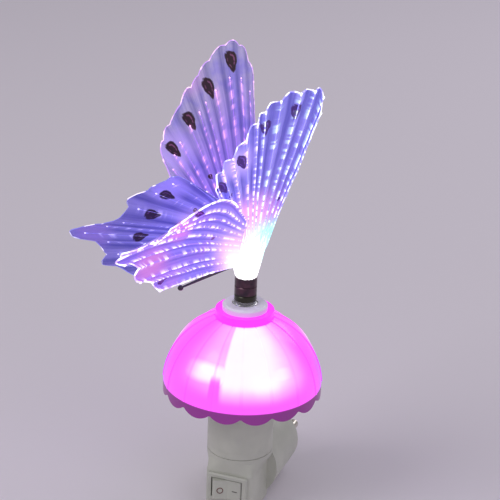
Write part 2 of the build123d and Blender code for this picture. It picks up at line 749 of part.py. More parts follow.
def load_terminal():
    """A tab through the floor, bent over inside to carry the fixed contact."""
    back = BEZEL_THICK + SWITCH_BODY_DEPTH
    floor = back - SWITCH_FLOOR
    tab = block(
        (LOAD_X - TAB_THICK / 2, LOAD_X + TAB_THICK / 2),
        (floor - TAB_THICK, back + TAB_LONG),
        (-TAB_W / 2, TAB_W / 2),
    )
    foot = block(
        (LOAD_X - 2.0, LOAD_X + 2.0), (floor - TAB_THICK, floor - TOUCH), (-TAB_W / 2, TAB_W / 2)
    )
    tilt = math.radians(CONTACT_TILT)
    under = NOSE_Y - LOAD_X * math.sin(tilt) + (RIVET_THICK - NOSE_DROP) * math.cos(tilt)
    top = under + RIVET_R * math.sin(tilt) + TOUCH
    return tab + foot + rod_along_y(RIVET_R, top, floor - 0.6, x=LOAD_X)


# ---------------------------------------------------------------- boards and lamps
def make_boards():
    """The ring of lamps on the tray and the supply board in the neck."""
    low = TRAY_TOP + TOUCH
    board = upright(SHADE_BOARD_R, low, low + BOARD_THICK)
    board -= rod(2.5, low - 1, low + BOARD_THICK + 1)
    screws = []
    for i in range(3):
        at = Rot(0, 0, LED_TURN + 60 + 120 * i) * Pos(BOARD_SCREW_OUT, 0)
        board -= at * rod(1.0 + TOUCH, low - 1, low + 2)
        head = at * rod(1.8, low + BOARD_THICK + TOUCH, low + BOARD_THICK + 1.2)
        shank = at * rod(1.0, TRAY_LOW + 0.4, low + BOARD_THICK + TOUCH)
        screws.append(on_lamp(head + shank).solid())
        PIECES["neck_tray"] -= on_lamp(at * rod(1.0, TRAY_LOW + 0.3, TRAY_TOP + 1))
    keep("lamp_board", on_lamp(board))
    keep("board_screws", Compound(screws))
    lamps = []
    for i in range(3):
        at = Rot(0, 0, LED_TURN + 120 * i) * Pos(LED_RING_R, 0)
        lamps.append(on_lamp(at * led(low + BOARD_THICK + TOUCH)).solid())
    keep("shade_leds", Compound(lamps))
    supply_board()


def supply_board():
    """An upright board in the neck with the dropper capacitor, rectifier and reservoir."""
    low = SEAM_Z + WALL + 1.5
    high = TRAY_LOW - POWER_BOARD_HEADROOM
    front = LAMP_Y + POWER_BOARD_BACK
    back = front + BOARD_THICK
    bore = NECK_R - WALL
    half = math.sqrt(bore**2 - (POWER_BOARD_BACK + BOARD_THICK) ** 2) - GAP
    keep("supply_board", block((-half, half), (front, back), (low, high)))
    ribs = block((-NECK_R, NECK_R), (front - GUIDE_RIB, back + GUIDE_RIB), (low, high))
    ribs -= block((-NECK_R, NECK_R), (front - GAP / 2, back + GAP / 2), (low - 1, high + 1))
    ribs -= block((1 - half, half - 1), (front - 5, back + 5), (low - 1, high + 1))
    PIECES["neck_tray"] += ribs & upright(bore + 0.5, low, high, y=LAMP_Y)
    face = front - TOUCH
    film = block((-6.5, 6.5), (face - 6.0, face), (low + 2, low + 13))
    film = chamfer(film.edges().filter_by(Axis.Y), 1.0)
    keep("film_capacitor", film)
    can = Pos(-4.5, face - 4.2, low + 14.0) * rod(4.0, 0, 10.0)
    can = chamfer(can.faces().sort_by(Axis.Z)[-1].edges(), 0.5)
    leg = block((-5.0, -4.0), (face - 1.0, face), (low + 16, low + 23))
    keep("reservoir_capacitor", can + leg)
    side = NECK_R - RECTIFIER_INSET
    bridge = block((side - 6.5, side), (face - 2.6, face), (low + 16, low + 23))
    keep("bridge_rectifier", chamfer(bridge.edges().filter_by(Axis.Y), 0.6))


for make in (make_housing, make_neck, make_shade, make_crown, make_butterfly, make_switch, make_boards):
    make()

os.makedirs("parts", exist_ok=True)
for node, piece in PIECES.items():
    export_step(piece, f"parts/{node}.step")
    print(node, len(piece.solids()), round(piece.volume, 1))
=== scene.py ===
# %% [markdown]
# # A butterfly night light with glowing fibres
# The lamp plugs straight into a wall. A white base carries a rocker switch, a pink
# scalloped dome glows round three small lamps, and a bundle of optical fibres rises from
# the crown into a butterfly of pleated cloth. The hard parts come ready made as a fixed
# frame in metres, so this file gives them their finishes and adds what is soft, fine or
# glowing: the wings, their fibres and edges, the strands of the bundle and the marks on
# the switch.

# %% Load the frame
import math
import random

import bmesh
import bpy
from mathutils import Matrix, Vector, noise


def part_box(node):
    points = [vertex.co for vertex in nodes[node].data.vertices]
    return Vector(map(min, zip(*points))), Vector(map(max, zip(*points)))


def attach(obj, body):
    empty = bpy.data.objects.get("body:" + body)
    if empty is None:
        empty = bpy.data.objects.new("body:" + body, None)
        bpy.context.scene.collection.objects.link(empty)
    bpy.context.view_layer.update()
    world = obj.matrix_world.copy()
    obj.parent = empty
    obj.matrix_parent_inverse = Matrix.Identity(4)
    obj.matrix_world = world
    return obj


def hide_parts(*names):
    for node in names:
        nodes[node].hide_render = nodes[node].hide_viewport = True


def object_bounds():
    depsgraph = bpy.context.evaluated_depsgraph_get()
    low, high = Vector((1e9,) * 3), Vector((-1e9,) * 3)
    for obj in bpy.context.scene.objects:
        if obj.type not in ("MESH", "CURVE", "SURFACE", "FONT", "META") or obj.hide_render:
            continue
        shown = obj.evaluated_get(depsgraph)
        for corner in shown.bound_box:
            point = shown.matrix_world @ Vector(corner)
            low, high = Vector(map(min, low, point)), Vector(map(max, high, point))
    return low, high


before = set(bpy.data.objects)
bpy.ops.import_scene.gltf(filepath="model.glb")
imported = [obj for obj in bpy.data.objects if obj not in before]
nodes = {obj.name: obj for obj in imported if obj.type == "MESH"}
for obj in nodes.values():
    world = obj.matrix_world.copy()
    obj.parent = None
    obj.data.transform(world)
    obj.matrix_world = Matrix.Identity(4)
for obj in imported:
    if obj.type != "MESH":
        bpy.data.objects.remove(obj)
cad_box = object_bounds()
MM = 0.001
LAMP_X, LAMP_Y = 0.0, -0.042  # the lamp's upright axis
RIM_Z = 0.052  # the dome's rim
print("pieces in the frame:", len(nodes))

# %% [markdown]
# ## Tools
# A few short functions take up what repeats. A socket of a node is given either another
# socket or plain numbers, and a colour is three numbers.


# %% Tools for objects and materials
def new_object(name, data):
    """An object in the scene with the given data."""
    obj = bpy.data.objects.new(name, data)
    bpy.context.scene.collection.objects.link(obj)
    return obj


def smooth(mesh):
    """Soft shading over all faces of a mesh."""
    for face in mesh.polygons:
        face.use_smooth = True


def feed(tree, socket, value):
    """A link into a socket, or its own value; a colour gets its alpha here."""
    if isinstance(value, bpy.types.NodeSocket):
        tree.links.new(value, socket)
    elif isinstance(value, tuple) and len(value) < len(socket.default_value):
        socket.default_value = (*value, 1)
    else:
        socket.default_value = value


def fill(tree, node, **values):
    """A node with its settings and sockets given by name."""
    for key, value in values.items():
        if hasattr(node, key):
            setattr(node, key, value)
        else:
            feed(tree, node.inputs[key.replace("_", " ")], value)
    return node


def shader(name, **values):
    """A material with a Principled shader, its node tree and the shader's node."""
    mat = bpy.data.materials.new(name)
    mat.use_nodes = True
    tree = mat.node_tree
    print("material:", name)
    return mat, tree, fill(tree, tree.nodes["Principled BSDF"], **values)


# %% [markdown]
# ## Camera
# The camera looks down on the lamp from its front right, with a long lens, a slight roll
# and the lamp a little left of the middle. It is aimed by one point on the object, the
# centre of the dome's rim, which lands on a chosen place in a 500 by 500 picture.

# %% Camera
PICTURE = 500
AZIMUTH, ELEVATION, ROLL = (math.radians(a) for a in (19.08, 22.01, 2.19))
FOCAL_PIXELS = 1674.95
DISTANCE = 0.82555
RIM_CENTRE = Vector((LAMP_X, LAMP_Y, RIM_Z))
RIM_PIXEL = (242.33, 377.80)
SENSOR = 36

sideways = math.cos(ELEVATION)
back = Vector((math.sin(AZIMUTH) * sideways, -math.cos(AZIMUTH) * sideways, math.sin(ELEVATION)))
level = Vector((math.cos(AZIMUTH), math.sin(AZIMUTH), 0))
upward = back.cross(level)
c, s = math.cos(ROLL), math.sin(ROLL)
right_px = RIM_PIXEL[0] - PICTURE / 2
up_px = PICTURE / 2 - RIM_PIXEL[1]
aside = (c * right_px - s * up_px) * DISTANCE / FOCAL_PIXELS
above = (s * right_px + c * up_px) * DISTANCE / FOCAL_PIXELS
place = RIM_CENTRE - aside * level - above * upward + DISTANCE * back
cam_right = c * level + s * upward
cam_up = c * upward - s * level

camera = new_object("camera", bpy.data.cameras.new("camera"))
turn = Matrix((cam_right, cam_up, back)).transposed().to_4x4()
camera.matrix_world = Matrix.Translation(place) @ turn
camera.data.sensor_width = SENSOR
camera.data.lens = FOCAL_PIXELS / PICTURE * SENSOR
camera.data.clip_start, camera.data.clip_end = 0.01, 20
bpy.context.scene.camera = camera
print("lens", round(camera.data.lens, 1), "mm, camera at", [round(v, 3) for v in place])

# %% [markdown]
# ## Floor and light
# A pale floor runs out past the view, so it is the background too. One large soft lamp
# stands high on the left, a weaker one fills in from the right and a third lifts the far
# edge. They are dim enough for the glowing parts to look lit.

# %% Floor and light
FLOOR_COLOUR = (0.8, 0.75, 0.82)
WORLD_COLOUR = (0.86, 0.84, 0.9)
WORLD_LEVEL = 0.42
UNDER = 0.0001  # from the lamp's foot down to the floor
LIT_POINT = Vector((0, -0.04, 0.08))  # what the three lamps are aimed at

bpy.ops.mesh.primitive_plane_add(size=8, location=(0, 0.5, cad_box[0].z - UNDER))
floor = bpy.context.object
floor.name = "floor"
floor_mat, _, _ = shader("pale floor", Base_Color=FLOOR_COLOUR, Roughness=0.9, Specular_IOR_Level=0.1)
floor.data.materials.append(floor_mat)


def soft_lamp(name, spot, size, power, colour):
    """A square area lamp aimed at the middle of the night light."""
    data = bpy.data.lights.new(name, "AREA")
    data.size, data.energy, data.color = size, power, colour
    lamp = new_object(name, data)
    way = LIT_POINT - Vector(spot)
    lamp.matrix_world = Matrix.Translation(spot) @ way.to_track_quat("-Z", "Y").to_matrix().to_4x4()


soft_lamp("key", (-0.9, -1.1, 1.2), 0.9, 9.0, (1.0, 0.99, 0.97))
soft_lamp("fill", (1.2, -0.8, 0.5), 1.0, 3.0, (0.97, 0.97, 1.0))
soft_lamp("edge", (0.5, 1.2, 1.0), 0.8, 4.0, (0.96, 0.93, 1.0))

world = bpy.data.worlds.new("studio")
bpy.context.scene.world = world
world.use_nodes = True
fill(world.node_tree, world.node_tree.nodes["Background"], Color=WORLD_COLOUR, Strength=WORLD_LEVEL)
bpy.context.scene.view_settings.view_transform = "Standard"
print("floor at", round(floor.location.z, 4), "under three soft lamps")

# %% [markdown]
# ## Shared effects
# Plastics, metals and cloth share a few effects: the fine grain of a moulded surface,
# cloudy colour from handling, and dashes of light along a fibre. Each is a node group
# with named inputs, made once and given other values in each material.

# %% Tools for node groups
VECTOR, FLOAT, COLOUR = "NodeSocketVector", "NodeSocketFloat", "NodeSocketColor"


def new_group(name, inputs, outputs):
    """A node group with sockets of the given kinds, what comes in, and its output node."""
    group = bpy.data.node_groups.new(name, "ShaderNodeTree")
    for way, sockets in (("INPUT", inputs), ("OUTPUT", outputs)):
        for label, kind in sockets.items():
            group.interface.new_socket(name=label, in_out=way, socket_type=kind)
    start, end = group.nodes.new("NodeGroupInput"), group.nodes.new("NodeGroupOutput")
    print("node group:", name)
    return group, start.outputs, end


def add(tree, kind, *first, **named):
    """A new node: its first sockets in their order, then settings and sockets by name."""
    node = tree.nodes.new(kind)
    for socket, value in zip(node.inputs, first):
        feed(tree, socket, value)
    return fill(tree, node, **named)


def use(tree, group, **values):
    """What comes out of a node group that is given values by name."""
    return add(tree, "ShaderNodeGroup", node_tree=group, **values).outputs


# %% Tools for values and colours
def maths(tree, operation, *values, clamp=False):
    """The outcome of a Math node."""
    return add(tree, "ShaderNodeMath", *values, operation=operation, use_clamp=clamp).outputs[0]


def vectors(tree, operation, *values):
    """The outcome of a Vector Math node."""
    node = add(tree, "ShaderNodeVectorMath", *values, operation=operation)
    return next(socket for socket in node.outputs if socket.enabled)


def mixed(tree, share, a, b, blend="MIX"):
    """A colour between a and b."""
    node = add(tree, "ShaderNodeMix", data_type="RGBA", blend_type=blend)
    for name, value in (("Factor", share), ("A", a), ("B", b)):
        feed(tree, next(x for x in node.inputs if x.name == name and x.enabled), value)
    return next(x for x in node.outputs if x.enabled)


def ranged(tree, value, low, high, to_low=0.0, to_high=1.0, kind="SMOOTHSTEP"):
    """A value taken from one range to another."""
    ends = (value, low, high, to_low, to_high)
    return add(tree, "ShaderNodeMapRange", *ends, interpolation_type=kind).outputs["Result"]


def fading(tree, value, low, high, top=1.0):
    """A value that falls from top at low to nothing at high."""
    return ranged(tree, value, low, high, top, 0.0)


def product(tree, first, *others):
    """Two or more values multiplied."""
    for value in others:
        first = maths(tree, "MULTIPLY", first, value)
    return first


def apart(tree, a, b):
    """How far one value is from another, either way."""
    return maths(tree, "ABSOLUTE", maths(tree, "SUBTRACT", a, b))


def dimmed(tree, value, mask, share):
    """A value lowered by a share where a mask is 1."""
    return product(tree, value, maths(tree, "SUBTRACT", 1.0, product(tree, mask, share)))


# %% Tools for places
def split(tree, vector):
    """The X, Y and Z of a vector, by name."""
    return add(tree, "ShaderNodeSeparateXYZ", vector).outputs


def joined(tree, x=0.0, y=0.0, z=0.0):
    """A vector of three values."""
    return add(tree, "ShaderNodeCombineXYZ", x, y, z).outputs["Vector"]


def cloud(tree, where, scale, detail):
    """Soft noise between 0 and 1."""
    return add(tree, "ShaderNodeTexNoise", Vector=where, Scale=scale, Detail=detail).outputs["Fac"]


def on_piece(tree):
    """The place on the piece, in its own metres."""
    return add(tree, "ShaderNodeTexCoord").outputs["Object"]


def uv_map(tree, name):
    """The place in one of the piece's own maps."""
    return add(tree, "ShaderNodeUVMap", uv_map=name).outputs["UV"]


# %% Moulded grain
GRAIN_DEEP = 0.08 * MM


def make_moulded_grain():
    """Fine grain and slow clouds of a moulded or cast surface."""
    numbers = dict.fromkeys(("Clouds", "Grain", "Roughness", "Spread", "Bump"), FLOAT)
    tree, at, end = new_group(
        "moulded grain",
        {"Vector": VECTOR, "Color": COLOUR, "Shade": COLOUR, **numbers},
        {"Color": COLOUR, "Roughness": FLOAT, "Normal": VECTOR},
    )
    clouds = cloud(tree, at["Vector"], at["Clouds"], 3.0)
    grain = cloud(tree, at["Vector"], at["Grain"], 2.0)
    offset = product(tree, maths(tree, "SUBTRACT", clouds, 0.5), at["Spread"])
    rough = maths(tree, "ADD", at["Roughness"], offset, clamp=True)
    bump = add(tree, "ShaderNodeBump", Height=grain, Strength=at["Bump"], Distance=GRAIN_DEEP)
    colour = mixed(tree, ranged(tree, clouds, 0.35, 0.7), at["Color"], at["Shade"])
    fill(tree, end, Color=colour, Roughness=rough, Normal=bump.outputs["Normal"])
    return tree


moulded_grain = make_moulded_grain()


# %% [markdown]
# ## Hard finishes
# White ABS has a faint satin grain. The bezel and rocker are the same plastic, a touch
# greyer. Metal parts get brushed or plated looks, and the ferrule is dark bronze that
# shows the coloured light around it and turns olive at its foot.


# %% Moulded and metal finishes
GRAIN, SPREAD = 1500.0, 0.12  # fine grain to a metre, and how far the roughness strays


def hard(name, colour, shade, rough, metal=0.0, clouds=60.0, bump=0.1, coat=0.0):
    """A moulded or metal finish with the grain group."""
    mat, tree, surface = shader(name, Metallic=metal, Coat_Weight=coat)
    values = {"Color": colour, "Shade": shade, "Clouds": clouds, "Roughness": rough, "Bump": bump}
    look = use(tree, moulded_grain, Vector=on_piece(tree), Grain=GRAIN, Spread=SPREAD, **values)
    fill(tree, surface, Base_Color=look["Color"], Roughness=look["Roughness"], Normal=look["Normal"])
    return mat


white_abs = hard("white ABS", (0.54, 0.545, 0.485), (0.48, 0.485, 0.435), 0.42, bump=0.15)
switch_white = hard("switch white", (0.51, 0.52, 0.46), (0.46, 0.465, 0.42), 0.34, bump=0.08)
bush_nylon = hard("bush nylon", (0.92, 0.86, 0.98), (0.84, 0.77, 0.95), 0.38)
patina = {"metal": 0.75, "clouds": 260, "bump": 0.35, "coat": 0.4}
bronze = hard("dark bronze", (0.085, 0.032, 0.055), (0.03, 0.016, 0.03), 0.34, **patina)
black_plastic = hard("black plastic", (0.018, 0.008, 0.02), (0.035, 0.018, 0.04), 0.32, coat=0.3)
sleeve_black = hard("sleeve black", (0.02, 0.02, 0.022), (0.03, 0.03, 0.032), 0.5)
nickel = hard("nickel plate", (0.66, 0.62, 0.55), (0.55, 0.51, 0.44), 0.22, metal=1.0, clouds=150, bump=0.05)
copper = hard("contact copper", (0.72, 0.38, 0.22), (0.55, 0.27, 0.15), 0.3, metal=1.0, clouds=200, bump=0.08)
steel = hard("screw steel", (0.45, 0.45, 0.46), (0.36, 0.36, 0.37), 0.34, metal=1.0, clouds=300)
board_green = hard("board green", (0.05, 0.22, 0.09), (0.03, 0.15, 0.06), 0.35, clouds=120, coat=0.3)
film_brown = hard("film capacitor", (0.42, 0.06, 0.03), (0.32, 0.04, 0.02), 0.3)
can_sleeve = hard("capacitor can", (0.03, 0.04, 0.12), (0.02, 0.03, 0.09), 0.3)

# %% [markdown]
# ## The lit dome
# The shade is thin pink plastic with three lamps inside, so most of what is seen is light
# that comes through it. The glow is written as emission: magenta all over, nearly white
# where a lamp stands close behind the wall, darker in the ribs and gone below the rim,
# where the tray stops the light. A lead inside throws one darker band.

# %% Height and turn on a piece
FOOT_BAND = 5.0 * MM  # of the ferrule, over the bush
FOOT_FADE = 0.6 * MM
OLIVE = (0.03, 0.028, 0.016)


def polar(tree):
    """Turn about the lamp's axis, in degrees, and height, of a place on the piece."""
    at = split(tree, on_piece(tree))
    angle = maths(tree, "ARCTAN2", maths(tree, "SUBTRACT", at["Y"], LAMP_Y), at["X"])
    return maths(tree, "DEGREES", angle), at["Z"]


def stain_foot(mat, colour, top):
    """Another colour on a finish below a height."""
    tree = mat.node_tree
    socket = tree.nodes["Principled BSDF"].inputs["Base Color"]
    foot = fading(tree, polar(tree)[1], top - FOOT_FADE, top + FOOT_FADE)
    tree.links.new(mixed(tree, foot, socket.links[0].from_socket, colour), socket)


stain_foot(bronze, OLIVE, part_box("top_bush")[1].z + FOOT_BAND)
print("olive foot on", bronze.name)

# %% Light on the dome's wall
COLLAR_Z = 0.0856
LAMP_TURN, LAMP_STEP = -71.0, 120.0  # degrees; the near lamp, and the others from it
LAMP_RING_Z = 0.0685  # the lamps shine at the wall at this height
RIB_COUNT, RIB_START = 16, 19.0 - 90.0
BAND_TURN = -92.0  # of the lead's shadow
VIOLET_OFF = 88.0  # degrees from the near lamp, where the wall turns violet
MAGENTA, VIOLET = (0.95, 0.10, 0.97), (0.50, 0.065, 1.0)
PINK, NEAR_WHITE = (1.0, 0.42, 1.0), (1.0, 0.95, 1.0)


def lamp_glow(tree, aside, off, height):
    """Light on the wall from 0 to 1, and the near lamp's part; aside and off are degrees from it."""
    tall = ranged(tree, height, RIM_Z + 0.001, RIM_Z + 0.0145)
    near = product(tree, ranged(tree, aside, -20.0, -13.0), fading(tree, aside, 18.0, 72.0), tall)
    level = apart(tree, height, LAMP_RING_Z)
    ring = product(tree, fading(tree, off, 30.0, 60.0, 0.95), fading(tree, level, 0.0015, 0.0075))
    risen = ranged(tree, height, RIM_Z + 0.002, RIM_Z + 0.015)
    veil = product(tree, fading(tree, off, 15.0, 75.0, 0.5), risen)
    low = product(tree, tall, fading(tree, height, LAMP_RING_Z, LAMP_RING_Z + 0.012))
    others = product(tree, fading(tree, apart(tree, off, LAMP_STEP), 8.0, 30.0, 0.95), low)
    glow = maths(tree, "MAXIMUM", maths(tree, "MAXIMUM", near, ring), maths(tree, "MAXIMUM", veil, others))
    return glow, near


# %% The shade's material
def make_shade_material():
    """Pink plastic lit from inside, with ribs, the lead's shadow and a skirt darkened by painted shade."""
    mat, tree, surface = shader("lit pink shade", Emission_Strength=1.0, Roughness=0.28, Coat_Weight=0.2)
    turn, height = polar(tree)
    aside = maths(tree, "SUBTRACT", turn, LAMP_TURN)
    off = maths(tree, "PINGPONG", aside, 180.0)
    glow, near = lamp_glow(tree, aside, off, height)
    steps = maths(tree, "DIVIDE", maths(tree, "SUBTRACT", turn, RIB_START), 360 / RIB_COUNT)
    rib = dimmed(tree, fading(tree, maths(tree, "PINGPONG", steps, 0.5), 0.01, 0.09), near, 0.85)
    beside = fading(tree, apart(tree, turn, BAND_TURN), 3.0, 5.0)
    band = product(tree, beside, fading(tree, height, RIM_Z + 0.013, RIM_Z + 0.017))
    glow = dimmed(tree, dimmed(tree, glow, band, 0.8), rib, 0.25)
    uneven = ranged(tree, cloud(tree, on_piece(tree), 90.0, 2.0), 0.3, 0.7, 0.9, 1.0)
    glow = maths(tree, "MULTIPLY", glow, uneven, clamp=True)
    far_side = fading(tree, apart(tree, off, VIOLET_OFF), 4.0, 28.0, 0.8)
    violet = product(tree, far_side, fading(tree, height, RIM_Z + 0.01, RIM_Z + 0.026))
    lit = mixed(tree, violet, MAGENTA, VIOLET)
    lit = mixed(tree, ranged(tree, glow, 0.0, 0.55), lit, PINK)
    lit = mixed(tree, ranged(tree, glow, 0.4, 1.0), lit, NEAR_WHITE)
    collar = ranged(tree, height, COLLAR_Z - 0.0003, COLLAR_Z + 0.0003)
    lit = mixed(tree, collar, lit, (0.95, 0.022, 0.92))
    skirt = ranged(tree, height, RIM_Z - 0.0006, RIM_Z + 0.0002)
    lit = mixed(tree, skirt, (0.02, 0.0, 0.02), lit)
    # The skirt's base colour is darker too: painted shade where the tray keeps the lamps' light off.
    base = mixed(tree, skirt, (0.31, 0.035, 0.31), (0.42, 0.03, 0.40))
    fill(tree, surface, Base_Color=base, Emission_Color=lit)
    return mat


lit_shade = make_shade_material()


# %% Clear glue and lamp lenses
clear_glue, _, _ = shader(
    "clear glue", Base_Color=(0.93, 0.92, 0.96), Transmission_Weight=0.9, Roughness=0.08, IOR=1.49
)
lamp_lens, _, _ = shader(
    "lamp lens", Base_Color=(0.9, 0.88, 0.92), Emission_Color=(1.0, 0.85, 1.0), Emission_Strength=2.0,
    Roughness=0.15,
)

# %% Give the frame's pieces their finishes
FINISHES = {
    white_abs: ["front_housing", "rear_housing", "neck_tray"],
    switch_white: ["switch_body", "rocker"],
    lit_shade: ["shade"],
    bush_nylon: ["top_bush"],
    bronze: ["ferrule"],
    clear_glue: ["glue_ring"],
    black_plastic: ["abdomen_stick", "rocker_plunger"],
    sleeve_black: ["left_pin_sleeve", "right_pin_sleeve"],
    nickel: ["left_pin", "right_pin", "common_terminal", "load_terminal"],
    copper: ["contact_bar"],
    steel: ["housing_screws", "board_screws", "plunger_spring"],
    board_green: ["lamp_board", "fiber_led_board", "supply_board"],
    film_brown: ["film_capacitor"],
    can_sleeve: ["reservoir_capacitor", "bridge_rectifier"],
    lamp_lens: ["shade_leds", "fiber_led"],
}
for finish, names in FINISHES.items():
    for name in names:
        nodes[name].data.materials.clear()
        nodes[name].data.materials.append(finish)
print("finishes given to", sum(map(len, FINISHES.values())), "pieces")

# %% [markdown]
# ## The wings
# Each wing is a piece of stiff organza, pleated like a fan from its root. A fan is easy to
# write down as a patch between four curves: the leading edge, the trailing edge, the outer
# margin and the point where they start. Zigzag folds that deepen towards the margin are
# then added square to the sheet. All four wings stand where the frame's plain wings are.

# %% The butterfly's own directions
HEADING = math.radians(48.0)
FERRULE_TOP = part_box("ferrule")[1].z
MOUTH = Vector((LAMP_X, LAMP_Y, FERRULE_TOP))
WINGS_LOW = FERRULE_TOP - 1.4 * MM  # heights on a wing count from here
# Millimetres that a sheet stands out from the butterfly's middle: at its root, then gained
# with each millimetre upwards, and with each millimetre towards the head.
FOREWING_SHEET = (-1.8, 0.387, -0.151)
RIGHT_HINDWING_SHEET = (4.6, 0.3, -0.2)
LEFT_HINDWING_SHEET = (3.0, 0.0, -0.3)


def on_wing(side, sheet, toward, above):
    """A point of a wing, given in millimetres towards the head and above WINGS_LOW."""
    out = side * (sheet[0] + sheet[1] * above + sheet[2] * toward)
    x = toward * math.cos(HEADING) + out * math.sin(HEADING)
    y = toward * math.sin(HEADING) - out * math.cos(HEADING)
    return Vector((LAMP_X + x * MM, LAMP_Y + y * MM, WINGS_LOW + above * MM))


def wing_normal(side, sheet):
    """The direction square to a wing's sheet, away from the butterfly's middle."""
    a = on_wing(side, sheet, 0, 0)
    along, up = on_wing(side, sheet, 1, 0) - a, on_wing(side, sheet, 0, 1) - a
    n = along.cross(up).normalized()
    outward = Vector((math.sin(HEADING) * side, -math.cos(HEADING) * side, 0))
    return n if n.dot(outward) > 0 else -n


print("wings measured from", round(WINGS_LOW, 4), "m up")

# %% Wing outlines
# Millimetres towards the head and above WINGS_LOW. A spot has its half length and width too.
LEFT_FORE = {
    "pleats": 11,
    "lead": [(8.5, 17), (10, 40), (14, 65), (16.8, 89)],
    "margin": [
        (16.8, 89), (16, 97.5), (12.5, 105), (8.5, 107.5), (3.5, 105), (-6, 98), (-14.5, 88.5),
        (-24, 77.5), (-31, 67.5), (-33.5, 59), (-31, 49),
    ],
    "trail": [(-9, 25), (-17, 33), (-31, 49)],
    "spots": [
        (6.8, 98.3, 5.4, 3.3), (-6.0, 86.8, 5.3, 3.3), (-17.7, 73.0, 4.9, 3.1),
        (-27.6, 60.9, 4.6, 2.8), (-11.3, 47.4, 1.4, 1.4), (-16.0, 39.8, 1.3, 1.3),
    ],
}
RIGHT_FORE = {
    "pleats": 11,
    "lead": [(8.5, 17), (10.5, 40), (14.6, 65), (18, 91)],
    "margin": [
        (18, 91), (17.4, 98.5), (13.5, 102.8), (7.8, 104), (-4.6, 102.3), (-13.8, 98), (-19, 88.5),
        (-24, 78.5), (-30.3, 69), (-31.5, 61), (-28, 53),
    ],
    "trail": [(-9, 25), (-17, 36), (-28, 53)],
    "spots": [
        (3.2, 93.7, 4.6, 3.4), (-11.3, 87.4, 4.6, 3.2), (-19.9, 70.8, 4.6, 3.0),
        (-27.4, 58.3, 4.2, 2.8), (-21.5, 53.0, 1.4, 1.3), (7.6, 44.7, 1.3, 1.2),
    ],
}
LEFT_HIND = {
    "pleats": 11,
    "lead": [(-5, 28), (-10, 37), (-18.5, 44)],
    "margin": [
        (-18.5, 44), (-27, 50), (-33, 51.8), (-43, 48), (-46.5, 45), (-53.5, 41.5), (-54.5, 36.5),
        (-59.5, 31.6), (-71.5, 29.2), (-80.2, 26.9), (-79.5, 24.5), (-71.5, 22), (-65.5, 19),
        (-64, 14), (-64.5, 9.8), (-56, 6.7), (-50, 2),
    ],
    "trail": [(-5, 14), (-17, 9.5), (-33, 5), (-50, 2)],
    "spots": [
        (-36.2, 43.0, 3.9, 2.8), (-42.7, 33.6, 4.1, 2.8), (-48.1, 23.0, 3.9, 2.6),
        (-23.0, 34.9, 1.3, 1.2), (-52.5, 12.0, 2.2, 1.2),
    ],
}
RIGHT_HIND = {
    "pleats": 9,
    "lead": [(-11, 38), (-15.5, 43.8), (-21, 50.3), (-28, 53.5), (-35.5, 53), (-43.5, 50.4), (-50, 46.5)],
    "margin": [
        (-50, 46.5), (-55.5, 42.5), (-61, 39.2), (-71, 38.5), (-80.8, 36), (-80.8, 32.4),
        (-72.8, 30.2), (-69.1, 25), (-68.5, 19.6), (-59.8, 16.5), (-56, 11),
    ],
    "trail": [(-11, 12.4), (-20, 12.7), (-31, 13.1), (-43, 12.3), (-56, 11)],
    "spots": [(-39.1, 48.0, 3.6, 2.0), (-53.8, 15.6, 2.6, 1.5), (-29.1, 32.9, 1.2, 1.1)],
}

# %% A fan between four curves
UNEVEN, UNEVEN_TURN = 0.016, 19  # how far a pleat strays, as a share of the margin


def smooth_run(points, share):
    """A point at a share of a smooth run through points, by their length."""
    points = [Vector(p) for p in points]
    lengths = [(b - a).length for a, b in zip(points, points[1:])]
    left = share * sum(lengths)
    for i, length in enumerate(lengths):
        if left <= length or i == len(lengths) - 1:
            t = min(left / length, 1.0)
            before = points[i - 1] if i else points[i] * 2 - points[i + 1]
            after = points[i + 2] if i + 2 < len(points) else points[i + 1] * 2 - points[i]
            a, b = points[i], points[i + 1]
            ta, tb = (b - before) / 2, (after - a) / 2
            start = a * (2 * t**3 - 3 * t**2 + 1) + ta * (t**3 - 2 * t**2 + t)
            return start + b * (3 * t**2 - 2 * t**3) + tb * (t**3 - t**2)
        left -= length


def fan_point(plan, u, v):
    """The fan's patch: u runs from the leading to the trailing edge, v from the root out."""
    lead, trail = smooth_run(plan["lead"], v), smooth_run(plan["trail"], v)
    margin = smooth_run(plan["margin"], u + UNEVEN * math.sin(u * UNEVEN_TURN) * math.sin(math.pi * u))
    root = Vector(plan["lead"][0]).lerp(Vector(plan["trail"][0]), u)
    corner = Vector(plan["margin"][0]).lerp(Vector(plan["margin"][-1]), u)
    return lead.lerp(trail, u) + root.lerp(margin, v) - root.lerp(corner, v)


# %% A point of a pleated sheet
FOLD_DEEP, FOLD_GROWS = 0.75, 1.6  # full depth from 1 / 1.6 of the way out
SCALLOP, SCALLOP_FROM = 1.6, 0.8  # depth, and the share of the way out where it starts
LOBE, LOBE_VARY, LOBE_TURN = 0.85, 0.45, 2.4  # a scallop's size, uneven from pleat to pleat
RIPPLE, CRUMPLE = (45, 0.5), (190, 0.45)  # waves to a metre, and their depth
INWARDS = 0.05  # a small step towards the root, to find the way there


def fold(phase, v):
    """Height of the pleats over the sheet, and how far a scallop cuts the margin in."""
    saw = abs((phase % 1.0) * 2 - 1)
    deep = FOLD_DEEP * min(1.0, v * FOLD_GROWS)
    lobe = (LOBE + LOBE_VARY * math.sin(int(phase) * LOBE_TURN)) * (1 - saw**2)
    outer = max(0.0, (v - SCALLOP_FROM) / (1 - SCALLOP_FROM))
    return (saw - 0.5) * 2 * deep, SCALLOP * (0.5 - lobe) * outer**2


